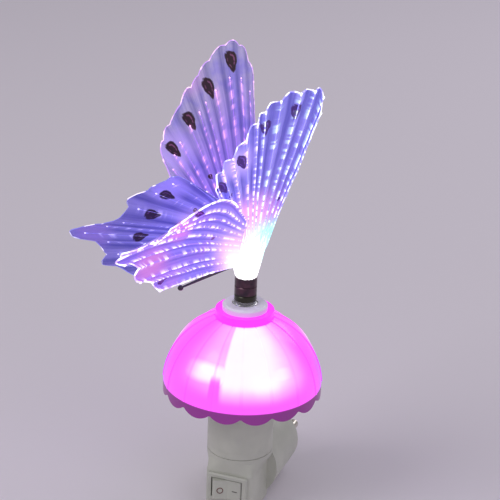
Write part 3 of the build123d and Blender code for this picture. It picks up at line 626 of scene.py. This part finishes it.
def sheet_point(side, sheet, plan, u, v, lift=0.0):
    """A point of the pleated wing, in metres, at a lift off the cloth."""
    normal = wing_normal(side, sheet)
    height, cut = fold(u * plan["pleats"], v)
    flat = fan_point(plan, u, v)
    if cut:
        inward = fan_point(plan, u, v - INWARDS) - flat
        flat = flat + inward.normalized() * cut
    where = on_wing(side, sheet, flat.x, flat.y)
    wave = sum(noise.noise(where * often) * deep for often, deep in (RIPPLE, CRUMPLE)) * v
    return where + normal * (height + wave + lift) * MM


# %% A sheet as a mesh
CLOTH_THICK = 0.22 * MM
PER_PLEAT, ROWS = 4, 40
PLAN_UNIT = 100  # millimetres to one step of the plan map


def on_plan(*lengths):
    """Millimetres as steps of the plan map."""
    return tuple(length / PLAN_UNIT for length in lengths)


def make_wing(name, side, sheet, plan):
    """A pleated sheet with its fan and plan coordinates as UV maps."""
    columns = plan["pleats"] * PER_PLEAT
    wide = columns + 1
    places = [(col / columns, row / ROWS) for row in range(ROWS + 1) for col in range(wide)]
    firsts = [row * wide + col for row in range(ROWS) for col in range(columns)]
    quads = [(a, a + 1, a + wide + 1, a + wide)[::side] for a in firsts]
    mesh = bpy.data.meshes.new(name)
    mesh.from_pydata([sheet_point(side, sheet, plan, u, v) for u, v in places], [], quads)
    maps = {
        "fan": [(u * plan["pleats"], v) for u, v in places],
        "plan": [on_plan(*fan_point(plan, u, v)) for u, v in places],
    }
    for label, values in maps.items():
        layer = mesh.uv_layers.new(name=label)
        for loop in mesh.loops:
            layer.data[loop.index].uv = values[loop.vertex_index]
    obj = new_object(name, mesh)
    area = sum(p.area for p in mesh.polygons)
    solid = obj.modifiers.new("cloth thickness", "SOLIDIFY")
    solid.thickness, solid.offset = CLOTH_THICK, 0
    bpy.context.view_layer.objects.active = obj
    bpy.ops.object.modifier_apply(modifier=solid.name)
    smooth(obj.data)
    print(name, "cloth area", round(area * 1e4, 2), "cm2")
    return obj, area


# %% The four wings
# Side of the body, sheet and outline; then the rectangles they are cut from, in metres.
WINGS = {
    "right_forewing": (1, FOREWING_SHEET, RIGHT_FORE),
    "right_hindwing": (1, RIGHT_HINDWING_SHEET, RIGHT_HIND),
    "left_forewing": (-1, FOREWING_SHEET, LEFT_FORE),
    "left_hindwing": (-1, LEFT_HINDWING_SHEET, LEFT_HIND),
}
CUTS = [(0.060, 0.115), (0.056, 0.090), (0.060, 0.115), (0.060, 0.095)]
wings = {}
for (name, wing), cut in zip(WINGS.items(), CUTS):
    wings[name], area = make_wing(name + "_cloth", *wing)

# %% [markdown]
# ## Light on the cloth
# The fibres leak light in short dashes where they were scratched, and the gauze round each
# dash picks it up. One pattern of dashes serves both the fibres and the cloth: it reads the
# fan map, in which the first number counts the pleats and the second runs from the root to
# the margin, so a dash on a fibre always has its halo beside it.


# %% Dashes of light along a fibre
LINE_STEP = 5.37  # between neighbouring fibres in the noise, so that they differ
DASH_RISE = 9.0


def make_dashes():
    """How bright a fibre is at a place of the fan, from 0 to 1, in short uneven dashes."""
    tree, at, end = new_group(
        "light dashes",
        {"Fan": VECTOR, "Per Length": FLOAT, "Share": FLOAT, "Seed": FLOAT},
        {"Light": FLOAT, "Beside": FLOAT},
    )
    fan = split(tree, at["Fan"])
    line = maths(tree, "ROUND", fan["X"])
    row = maths(tree, "ADD", product(tree, line, LINE_STEP), at["Seed"])
    here = cloud(tree, joined(tree, row, product(tree, fan["Y"], at["Per Length"])), 1.0, 1.0)
    lift = maths(tree, "SUBTRACT", here, maths(tree, "SUBTRACT", 1.0, at["Share"]))
    light = maths(tree, "MULTIPLY", lift, DASH_RISE, clamp=True)
    fill(tree, end, Light=light, Beside=apart(tree, fan["X"], line))
    return tree


light_dashes = make_dashes()


# %% Light of the bundle
PINK_LIGHT, CYAN_LIGHT = (0.98, 0.58, 0.98), (0.28, 1.0, 0.82)
SIDE_REACH = 0.5  # the wings stand beside the bundle, so its light carries further there
TAIL_REACH = 0.75  # and so it does under the hindwings
CONE = 0.3  # how much further out it carries with each step up
# Metres out and up from the ferrule's top in which the light fades, and stops being white.
LIGHT_OUT, LIGHT_UP = (0.0075, 0.0185), (0.021, 0.037)
WHITE_OUT, WHITE_UP = (0.0085, 0.014), (0.015, 0.025)


def make_bundle_light():
    """How strongly the bundle lights a place near it, and the light's colour: white close by,
    pink on the camera's left and cyan on its right."""
    tree, at, end = new_group("bundle light", {"Place": VECTOR}, {"Light": FLOAT, "Color": COLOUR})
    off = vectors(tree, "SUBTRACT", at["Place"], MOUTH)
    aligned = add(tree, "ShaderNodeMapping", Vector=off, Rotation=(0, 0, -HEADING), vector_type="POINT")
    parts = split(tree, aligned.outputs["Vector"])
    along = maths(tree, "MAXIMUM", parts["X"], product(tree, parts["X"], -TAIL_REACH))
    flat = joined(tree, along, product(tree, parts["Y"], SIDE_REACH))
    up = parts["Z"]
    beyond = maths(tree, "SUBTRACT", vectors(tree, "LENGTH", flat), product(tree, up, CONE))
    light = product(tree, fading(tree, beyond, *LIGHT_OUT), fading(tree, up, *LIGHT_UP))
    across = vectors(tree, "DOT_PRODUCT", off, (cam_right.x, cam_right.y, 0))
    tint = mixed(tree, ranged(tree, across, -0.003, 0.007), PINK_LIGHT, CYAN_LIGHT)
    white = product(tree, fading(tree, beyond, *WHITE_OUT), fading(tree, up, *WHITE_UP))
    low, middle = fading(tree, up, 0.005, 0.012), ranged(tree, across, 0.0020, 0.0065, 1.0, 0.25)
    white = product(tree, white, maths(tree, "MAXIMUM", low, middle))
    fill(tree, end, Light=light, Color=mixed(tree, white, tint, (1, 1, 1)))
    return tree


bundle_light = make_bundle_light()


def lit_by_bundle(tree, colour):
    """A glow colour with the bundle's light laid over it."""
    near = use(tree, bundle_light, Place=on_piece(tree))
    return mixed(tree, near["Light"], colour, near["Color"])


# %% [markdown]
# ## Dyed gauze and its spots
# The cloth is dyed from root to margin, clouded with a second colour and see-through between
# its threads; the valleys of its pleats get painted shade. It could be a painted image, but made
# of nodes any of it is changed by a number: the fan map gives the folds and the plan map the
# places. The dark drops are one group, laid down for each spot and turned to point at the root,
# each with a painted glint ring inside.

# %% Pleated gauze
WEAVE = 1300.0  # turn of the threads, in radians to a step of the plan map
DYES = ("Root", "Middle", "Edge", "Patch")
AMOUNTS = ("Patch Share", "Fold Shade", "Root Alpha", "Edge Alpha", "Seed")


def make_pleated_gauze():
    """Colour, opacity and weave of a dyed gauze wing, with painted shade in the valleys of its pleats."""
    tree, at, end = new_group(
        "pleated gauze",
        {"Fan": VECTOR, "Plan": VECTOR, **dict.fromkeys(DYES, COLOUR), **dict.fromkeys(AMOUNTS, FLOAT)},
        {"Color": COLOUR, "Alpha": FLOAT, "Normal": VECTOR},
    )
    fan, plan = split(tree, at["Fan"]), split(tree, at["Plan"])
    out = fan["Y"]
    colour = mixed(tree, ranged(tree, out, 0.08, 0.5), at["Root"], at["Middle"])
    colour = mixed(tree, ranged(tree, out, 0.5, 1.0), colour, at["Edge"])
    moved = vectors(tree, "ADD", at["Plan"], joined(tree, z=at["Seed"]))
    patch = product(tree, ranged(tree, cloud(tree, moved, 7.0, 3.0), 0.45, 0.68), at["Patch Share"])
    colour = mixed(tree, patch, colour, at["Patch"])
    # Painted shade: the colour is darkened in the valleys between the pleats by Fold Shade, keeping more blue
    # there.
    folds = maths(tree, "PINGPONG", maths(tree, "ADD", fan["X"], 0.12), 0.5)
    painted_valley_shade = product(tree, ranged(tree, folds, 0.12, 0.5), at["Fold Shade"])
    streaks = cloud(tree, joined(tree, product(tree, fan["X"], 3.1), out), 2.0, 3.0)
    level = maths(tree, "SUBTRACT", ranged(tree, streaks, 0.3, 0.7, 0.82, 1.12), painted_valley_shade)
    blue = ranged(tree, level, 0.0, 1.0, 0.4, 1.0, "LINEAR")
    shade = add(tree, "ShaderNodeCombineColor", level, level, blue).outputs["Color"]
    colour = mixed(tree, 1.0, colour, shade, "MULTIPLY")
    warp, weft = (maths(tree, "SINE", product(tree, plan[axis], WEAVE)) for axis in "XY")
    weave = product(tree, warp, weft)
    thread = add(tree, "ShaderNodeBump", Height=weave, Strength=0.25, Distance=0.1 * MM)
    opacity = ranged(tree, out, 0.2, 0.95, at["Root Alpha"], at["Edge Alpha"])
    alpha = maths(tree, "ADD", opacity, product(tree, weave, 0.05), clamp=True)
    fill(tree, end, Color=colour, Alpha=alpha, Normal=thread.outputs["Normal"])
    return tree


pleated_gauze = make_pleated_gauze()


# %% Teardrop spots
def make_teardrop():
    """A dark drop with its round end outwards, and a thin painted glint ring inside it."""
    tree, at, end = new_group("teardrop", {"Local": VECTOR}, {"Mask": FLOAT, "Ring": FLOAT})
    ragged = cloud(tree, at["Local"], 1.6, 2.0)
    local = split(tree, at["Local"])
    across = maths(tree, "DIVIDE", local["Y"], ranged(tree, local["X"], -1.0, 0.4, 0.42, 1.0, "LINEAR"))
    far = maths(tree, "ADD", product(tree, across, across), product(tree, local["X"], local["X"]))
    stray = ranged(tree, ragged, 0.3, 0.7, -0.12, 0.12, "LINEAR")
    far = maths(tree, "ADD", maths(tree, "SQRT", far), stray)
    ring = product(tree, ranged(tree, far, 0.42, 0.55), fading(tree, far, 0.55, 0.68))
    ring = product(tree, ring, ranged(tree, ragged, 0.47, 0.56))
    fill(tree, end, Mask=fading(tree, far, 0.86, 1.02), Ring=ring)
    return tree


teardrop = make_teardrop()


def spot_masks(tree, plan_map, root, spots):
    """The joined mask and painted glint ring of a wing's spots, each turned to point at the root."""
    mask, ring = 0.0, 0.0
    for toward, above, half_long, half_wide in spots:
        turn = math.atan2(above - root[1], toward - root[0])
        local = add(tree, "ShaderNodeMapping", Vector=plan_map, vector_type="TEXTURE")
        size = (*on_plan(half_long, half_wide), 1)
        fill(tree, local, Location=(*on_plan(toward, above), 0), Rotation=(0, 0, turn), Scale=size)
        drop = use(tree, teardrop, Local=local.outputs["Vector"])
        mask = maths(tree, "MAXIMUM", drop["Mask"], mask)
        ring = maths(tree, "MAXIMUM", drop["Ring"], ring)
    return mask, ring


# %% A wing's material
DASHES = ("Per Length", "Share", "Seed")


def make_wing_material(name, plan, looks):
    """Gauze, spots and the light that its fibres give to the cloth."""
    mat, tree, surface = shader(
        name, Emission_Strength=1.0, Roughness=0.5, Sheen_Weight=0.3, Sheen_Roughness=0.4
    )
    fan, plan_map = uv_map(tree, "fan"), uv_map(tree, "plan")
    cloth = use(tree, pleated_gauze, Fan=fan, Plan=plan_map, **{key: looks[key] for key in DYES + AMOUNTS})
    dash = use(tree, light_dashes, Fan=fan, **{key: looks[key] for key in DASHES})
    at = split(tree, fan)
    reach = fading(tree, at["Y"], looks["Reach"] - 0.02, looks["Reach"] + 0.03)
    halo = product(tree, dash["Light"], fading(tree, dash["Beside"], 0.0, 0.3), reach, looks["Halo"])
    tint = mixed(tree, ranged(tree, at["X"], *looks["Turns"]), looks["Dash"], looks["Late Dash"])
    mask, ring = spot_masks(tree, plan_map, plan["lead"][0], plan["spots"])
    colour = cloth["Color"]
    for toward, above, radius, blush in looks["Blushes"]:
        away = vectors(tree, "DISTANCE", plan_map, (*on_plan(toward, above), 0))
        here = fading(tree, away, *on_plan(radius / 4, radius), 0.85)
        colour = mixed(tree, here, colour, blush)
    # Painted glint: a lighter ring inside each spot, in the base colour here and as glow below.
    colour = mixed(tree, mask, colour, mixed(tree, ring, looks["Spot"], looks["Spot Ring"]))
    bright = mixed(tree, 1.0, colour, (looks["Glow"],) * 3, "MULTIPLY")
    bright = mixed(tree, halo, bright, tint)
    painted_glint_glow = mixed(tree, ring, (0, 0, 0), looks["Spot Ring"])
    bright = lit_by_bundle(tree, mixed(tree, product(tree, mask, 0.85), bright, painted_glint_glow))
    alpha = maths(tree, "MAXIMUM", cloth["Alpha"], mask)
    fill(tree, surface, Base_Color=colour, Emission_Color=bright, Alpha=alpha, Normal=cloth["Normal"])
    return mat


# %% How each wing looks
# "Turns" is where across the fan the dashes change to "Late Dash", and "Reach" is how far
# out the fibres go. The rim is the bright edge, its thickness in millimetres. A blush is a
# place and a radius in millimetres, and its colour.
LOOKS = {
    "left_forewing": {
        "Root": (0.62, 0.31, 0.96), "Middle": (0.36, 0.23, 0.74), "Edge": (0.4, 0.35, 0.6),
        "Patch": (0.18, 0.14, 0.66), "Patch Share": 0.7, "Fold Shade": 0.42, "Seed": 1.0,
        "Root Alpha": 0.92, "Edge Alpha": 0.62, "Glow": 0.42, "Halo": 0.5, "Reach": 0.82,
        "Dash": (0.8, 0.34, 1.0), "Late Dash": (1.0, 0.4, 0.92), "Turns": (1, 4),
        "Share": 0.5, "Per Length": 21.0, "Spot": (0.035, 0.008, 0.02), "Spot Ring": (0.13, 0.04, 0.1),
        "Fibre": (0.34, 0.16, 0.68), "Lit Fibre": (1.0, 0.45, 0.95), "Rim": (0.46, 0.26, 0.66),
        "Lit Rim": (1.0, 0.5, 0.92), "Rim Thick": 0.26, "Rim Share": 0.53,
        "Blushes": [(-27, 60, 14, (0.5, 0.36, 0.85)), (-17, 92, 12, (0.52, 0.3, 0.68))],
    },
    "right_forewing": {
        "Root": (0.75, 0.3, 0.88), "Middle": (0.27, 0.225, 0.75), "Edge": (0.22, 0.2, 0.7),
        "Patch": (0.42, 0.34, 1.0), "Patch Share": 0.45, "Fold Shade": 0.4, "Seed": 2.0,
        "Root Alpha": 0.98, "Edge Alpha": 0.92, "Glow": 0.55, "Halo": 0.8, "Reach": 1.0,
        "Dash": (0.62, 0.86, 1.0), "Late Dash": (1.0, 0.62, 0.95), "Turns": (4.5, 7.5),
        "Share": 0.53, "Per Length": 29.0, "Spot": (0.075, 0.02, 0.26), "Spot Ring": (0.1, 0.04, 0.34),
        "Fibre": (0.28, 0.25, 0.9), "Lit Fibre": (0.85, 0.95, 1.0), "Rim": (0.32, 0.28, 0.88),
        "Lit Rim": (1.0, 1.0, 1.0), "Rim Thick": 0.34, "Rim Share": 0.56,
        "Blushes": [(-8, 34, 22, (0.92, 0.46, 0.94)), (-22, 70, 12, (0.55, 0.42, 0.98))],
    },
    "left_hindwing": {
        "Root": (0.52, 0.28, 0.86), "Middle": (0.24, 0.21, 0.7), "Edge": (0.21, 0.18, 0.58),
        "Patch": (0.16, 0.14, 0.54), "Patch Share": 0.6, "Fold Shade": 0.5, "Seed": 3.0,
        "Root Alpha": 0.96, "Edge Alpha": 0.84, "Glow": 0.45, "Halo": 0.5, "Reach": 0.9,
        "Dash": (0.7, 0.46, 1.0), "Late Dash": (0.55, 0.48, 1.0), "Turns": (2, 5),
        "Share": 0.45, "Per Length": 26.0, "Spot": (0.02, 0.004, 0.05), "Spot Ring": (0.05, 0.015, 0.1),
        "Fibre": (0.18, 0.16, 0.62), "Lit Fibre": (0.75, 0.62, 1.0), "Rim": (0.16, 0.15, 0.5),
        "Lit Rim": (0.85, 0.78, 1.0), "Rim Thick": 0.22, "Rim Share": 0.45,
        "Blushes": [(-70, 26, 13, (0.23, 0.15, 0.58)), (-36, 48, 12, (0.33, 0.26, 0.84))],
    },
    "right_hindwing": {
        "Root": (0.4, 0.28, 0.98), "Middle": (0.26, 0.18, 0.82), "Edge": (0.3, 0.17, 0.76),
        "Patch": (0.48, 0.2, 0.78), "Patch Share": 0.5, "Fold Shade": 0.35, "Seed": 4.0,
        "Root Alpha": 0.98, "Edge Alpha": 0.95, "Glow": 0.6, "Halo": 0.8, "Reach": 1.0,
        "Dash": (1.0, 0.78, 1.0), "Late Dash": (0.9, 0.78, 1.0), "Turns": (2, 5),
        "Share": 0.53, "Per Length": 29.0, "Spot": (0.16, 0.02, 0.35), "Spot Ring": (0.2, 0.04, 0.42),
        "Fibre": (0.28, 0.16, 0.82), "Lit Fibre": (1.0, 0.85, 1.0), "Rim": (0.55, 0.36, 0.95),
        "Lit Rim": (1.0, 1.0, 1.0), "Rim Thick": 0.42, "Rim Share": 0.64,
        "Blushes": [(-62, 27, 13, (0.58, 0.2, 0.64)), (-49, 42, 9, (0.66, 0.22, 0.74))],
    },
}
for name, piece in wings.items():
    piece.data.materials.append(make_wing_material(name + " gauze", WINGS[name][2], LOOKS[name]))
    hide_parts(name)
    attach(piece, "lamp")

# %% [markdown]
# ## Fibres on the wings
# Each pleat carries one plastic fibre half a millimetre thick, glued on the fold. It is a
# thin tube along a fixed pleat of the patch, swollen to a bead at the margin, where the cut
# end shines. The edges of each wing glow too, in uneven tubes of the same kind. A curve with
# a bevel would do, but a tube made ring by ring carries the fan map, which the dashes need.

# %% Tubes along a line
def add_tube(bm, fan_layer, points, radii, fans, sides=6):
    """A closed tube through points, with a radius and a fan place at each."""
    rings = []
    side_way = (points[1] - points[0]).orthogonal().normalized()
    for i, point in enumerate(points):
        ahead = (points[min(i + 1, len(points) - 1)] - points[max(i - 1, 0)]).normalized()
        side_way = (side_way - ahead * side_way.dot(ahead)).normalized()
        other = ahead.cross(side_way)
        ring = []
        for k in range(sides):
            a = math.tau * k / sides
            ring.append(bm.verts.new(point + (side_way * math.cos(a) + other * math.sin(a)) * radii[i]))
        rings.append(ring)
    for a, b, fan_a, fan_b in zip(rings, rings[1:], fans, fans[1:]):
        for k in range(sides):
            after = (k + 1) % sides
            face = bm.faces.new((a[k], a[after], b[after], b[k]))
            for loop, at in zip(face.loops, (fan_a, fan_a, fan_b, fan_b)):
                loop[fan_layer].uv = at
    for ring, at in ((rings[0][::-1], fans[0]), (rings[-1], fans[-1])):
        for loop in bm.faces.new(ring).loops:
            loop[fan_layer].uv = at


def tubes_piece(name, tubes, material):
    """One mesh of many tubes, each given as points, radii and fan places."""
    bm = bmesh.new()
    layer = bm.loops.layers.uv.new("fan")
    for points, radii, fans in tubes:
        add_tube(bm, layer, points, radii, fans)
    mesh = bpy.data.meshes.new(name)
    bm.to_mesh(mesh)
    bm.free()
    smooth(mesh)
    mesh.materials.append(material)
    return new_object(name, mesh)


# %% Fibres on the pleats
FIBRE_R, BEAD_R = 0.27 * MM, 0.55 * MM
FIBRE_LIFT = 0.1  # of a fibre's middle off the cloth, in millimetres
FIBRE_STEPS = 44
LEAD_IN = (0.2, 0.45, 0.75)  # where a fibre passes on its way from the ferrule to the root
BEAD = ((0.0, 0.9), (0.8, 1.0), (1.5, 0.35))  # rings past the tip: how far and how wide


def wing_fibres(wing, reach):
    """Tubes along every pleat, from the root to a bead at the margin or short of it."""
    side, sheet, plan = wing
    pleats = plan["pleats"]
    tubes = []
    for line in range(pleats + 1):
        u = line / pleats
        far = 1.0 if line in (0, pleats) else reach
        shares = [far * i / FIBRE_STEPS for i in range(FIBRE_STEPS)]
        points = [sheet_point(side, sheet, plan, u, v, FIBRE_LIFT) for v in shares]
        points = [MOUTH.lerp(points[0], share) for share in LEAD_IN] + points
        radii = [FIBRE_R] * len(points) + [BEAD_R * wide for _, wide in BEAD]
        tip = sheet_point(side, sheet, plan, u, far, FIBRE_LIFT)
        way = (tip - points[-1]).normalized()
        points += [tip + way * BEAD_R * past for past, _ in BEAD]
        fans = [(line, (share - 1) / 4) for share in LEAD_IN]
        fans += [(line, v) for v in shares] + [(line, 1.0)] * len(BEAD)
        tubes.append((points, radii, fans))
    return tubes


# %% Bright edges
EDGE_FROM = 0.25  # share of the way out where the bright edges start
EDGE_STEPS, MARGIN_STEPS = 30, 6  # along an edge, and to a pleat along the margin
EDGE_ROWS = (20, 40, 60)  # the margin's and edges' rows in the fan map, clear of the pleats


def wing_edges(wing, rng, thick):
    """Tubes round the margin and along both edges, with uneven thickness."""
    side, sheet, plan = wing
    steps = plan["pleats"] * MARGIN_STEPS
    outwards = [EDGE_FROM + (1 - EDGE_FROM) * i / EDGE_STEPS for i in range(EDGE_STEPS + 1)]
    margin = [sheet_point(side, sheet, plan, i / steps, 1.0) for i in range(steps + 1)]
    lead, trail = ([sheet_point(side, sheet, plan, u, v) for v in outwards] for u in (0.0, 1.0))
    tubes = []
    for row, points in zip(EDGE_ROWS, (margin, lead, trail)):
        radii = [thick * rng.uniform(0.7, 1.25) for _ in points]
        tubes.append((points, radii, [(row, i / 1000) for i in range(len(points))]))
    return tubes


# %% The fibres' material
def fibre_material(name, dull, bright, level, looks=None, **dashes):
    """Clear plastic that is dim between its dashes and bright at them and at its end."""
    mat, tree, surface = shader(name, Emission_Strength=level, Roughness=0.25, IOR=1.49)
    fan = uv_map(tree, "fan")
    at = split(tree, fan)
    dash = use(tree, light_dashes, Fan=fan, **dashes)
    light = maths(tree, "MAXIMUM", dash["Light"], ranged(tree, at["Y"], 0.985, 0.995))
    if looks:
        bright = mixed(tree, ranged(tree, at["X"], *looks["Turns"]), bright, looks["Late Dash"])
    glow = lit_by_bundle(tree, mixed(tree, light, dull, bright))
    fill(tree, surface, Emission_Color=glow, Base_Color=mixed(tree, light, dull, (0.9, 0.85, 0.95)))
    return mat


# %% Fibres and edges of each wing
EDGE_PER_LENGTH = 420.0
rng = random.Random(7)
for name, wing in WINGS.items():
    looks = LOOKS[name]
    dashes = {key: looks[key] for key in DASHES}
    plastic = fibre_material(name + " fibre", looks["Fibre"], looks["Lit Fibre"], 1.1, looks, **dashes)
    fibres = tubes_piece(name + "_fibres", wing_fibres(wing, looks["Reach"]), plastic)
    dashes.update({"Per Length": EDGE_PER_LENGTH, "Share": looks["Rim Share"]})
    plastic = fibre_material(name + " edge", looks["Rim"], looks["Lit Rim"], 1.0, **dashes)
    edge = tubes_piece(name + "_edge", wing_edges(wing, rng, looks["Rim Thick"] * MM), plastic)
    for piece in (fibres, edge):
        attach(piece, "lamp")
    print(name, "fibres:", len(fibres.data.polygons), "faces, edge:", len(edge.data.polygons))

# %% [markdown]
# ## The bundle
# A hundred and fifty strands leave the ferrule side by side and spread like a shaving
# brush. Each is a tube on a smooth line that leans outwards by as much as it stood off the
# middle. They are so bright near the ferrule that they melt together, and take on colour
# only towards their ends.

# %% Strands out of the ferrule
STRANDS = 150
STRAND_R, STRAND_STEPS = 0.40 * MM, 12
STRAND_ROOT = 3 * MM  # below the ferrule's top
MOUTH_R, FLARE_R, FLARE_TALL = 4.1 * MM, 11.8 * MM, 30.0 * MM
GOLDEN_TURN = 2.39996  # spreads the strands evenly over the ferrule's mouth


def strand(rng, number):
    """One strand: where it leaves the ferrule sets where it ends."""
    share = math.sqrt((number + 0.5) / STRANDS)
    turn = number * GOLDEN_TURN + rng.uniform(-0.1, 0.1)
    tall = FLARE_TALL * rng.uniform(0.55, 1.0)
    spread = FLARE_R * (0.9 + rng.uniform(-0.1, 0.1))
    points, radii, fans = [], [], []
    for i in range(STRAND_STEPS + 1):
        v = i / STRAND_STEPS
        up = tall * v
        r = share * (MOUTH_R + (spread - MOUTH_R) * (up / FLARE_TALL) ** 0.85)
        x, y = LAMP_X + r * math.cos(turn), LAMP_Y + r * math.sin(turn)
        points.append(Vector((x, y, FERRULE_TOP - STRAND_ROOT + up)))
        radii.append(STRAND_R * (1.0 - 0.45 * v))
        fans.append((turn % math.tau / math.tau, up / FLARE_TALL))
    return points, radii, fans


lit, tree, surface = shader(
    "lit strands", Base_Color=(0.85, 0.85, 0.9), Emission_Strength=1.3, Roughness=0.2
)
fill(tree, surface, Emission_Color=use(tree, bundle_light, Place=on_piece(tree))["Color"])
strands = tubes_piece("strands", [strand(rng, i) for i in range(STRANDS)], lit)
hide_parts("fiber_bundle")
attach(strands, "lamp")
print("strands:", len(strands.data.polygons), "faces")

# %% [markdown]
# ## Switch marks
# The rocker is marked with a ring on the off side and a dash on the on side. They are
# printed, so they are thin raised shapes that lie on the rocker's own face: a ray from the
# front finds the face, and the mark is laid square to it.


# %% Ring and dash
IN_FRONT = -0.2  # where a ray towards the rocker starts
MARK_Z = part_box("rocker")[0].z / 2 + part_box("rocker")[1].z / 2 - 0.4 * MM
RING_X, DASH_X = -2.7 * MM, 4.4 * MM


def lay(name, x):
    """The mark just made flat about the origin, named and its mesh moved onto the rocker's face."""
    obj = bpy.context.object
    obj.name = name
    _, spot, normal, _ = nodes["rocker"].ray_cast(Vector((x, IN_FRONT, MARK_Z)), Vector((0, 1, 0)))
    across = Vector((0, 0, 1)).cross(normal).normalized()
    turn = Matrix((across, normal.cross(across), normal)).transposed().to_4x4()
    obj.data.transform(Matrix.Translation(spot) @ turn)
    obj.data.update()
    return obj


bpy.ops.mesh.primitive_torus_add(
    major_radius=1.45 * MM, minor_radius=0.22 * MM, major_segments=40, minor_segments=10, location=(0, 0, 0)
)
ring_mark = lay("off_ring", RING_X)
bpy.ops.mesh.primitive_cube_add(size=1, location=(0, 0, 0))
bpy.context.object.data.transform(Matrix.Diagonal((2.6 * MM, 0.45 * MM, 0.2 * MM, 1)))
bpy.ops.object.mode_set(mode="EDIT")
bpy.ops.mesh.select_all(action="SELECT")
bpy.ops.mesh.bevel(offset=0.08 * MM, segments=2)
bpy.ops.object.mode_set(mode="OBJECT")
dash_mark = lay("on_dash", DASH_X)
ring_ink = hard("ring print", (0.14, 0.04, 0.035), (0.11, 0.03, 0.03), 0.5)
dash_ink = hard("dash print", (0.08, 0.07, 0.07), (0.05, 0.05, 0.05), 0.5)
for piece, ink in ((ring_mark, ring_ink), (dash_mark, dash_ink)):
    piece.data.materials.append(ink)
    smooth(piece.data)
    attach(piece, "rocker")
print("marks:", ring_mark.name, dash_mark.name)
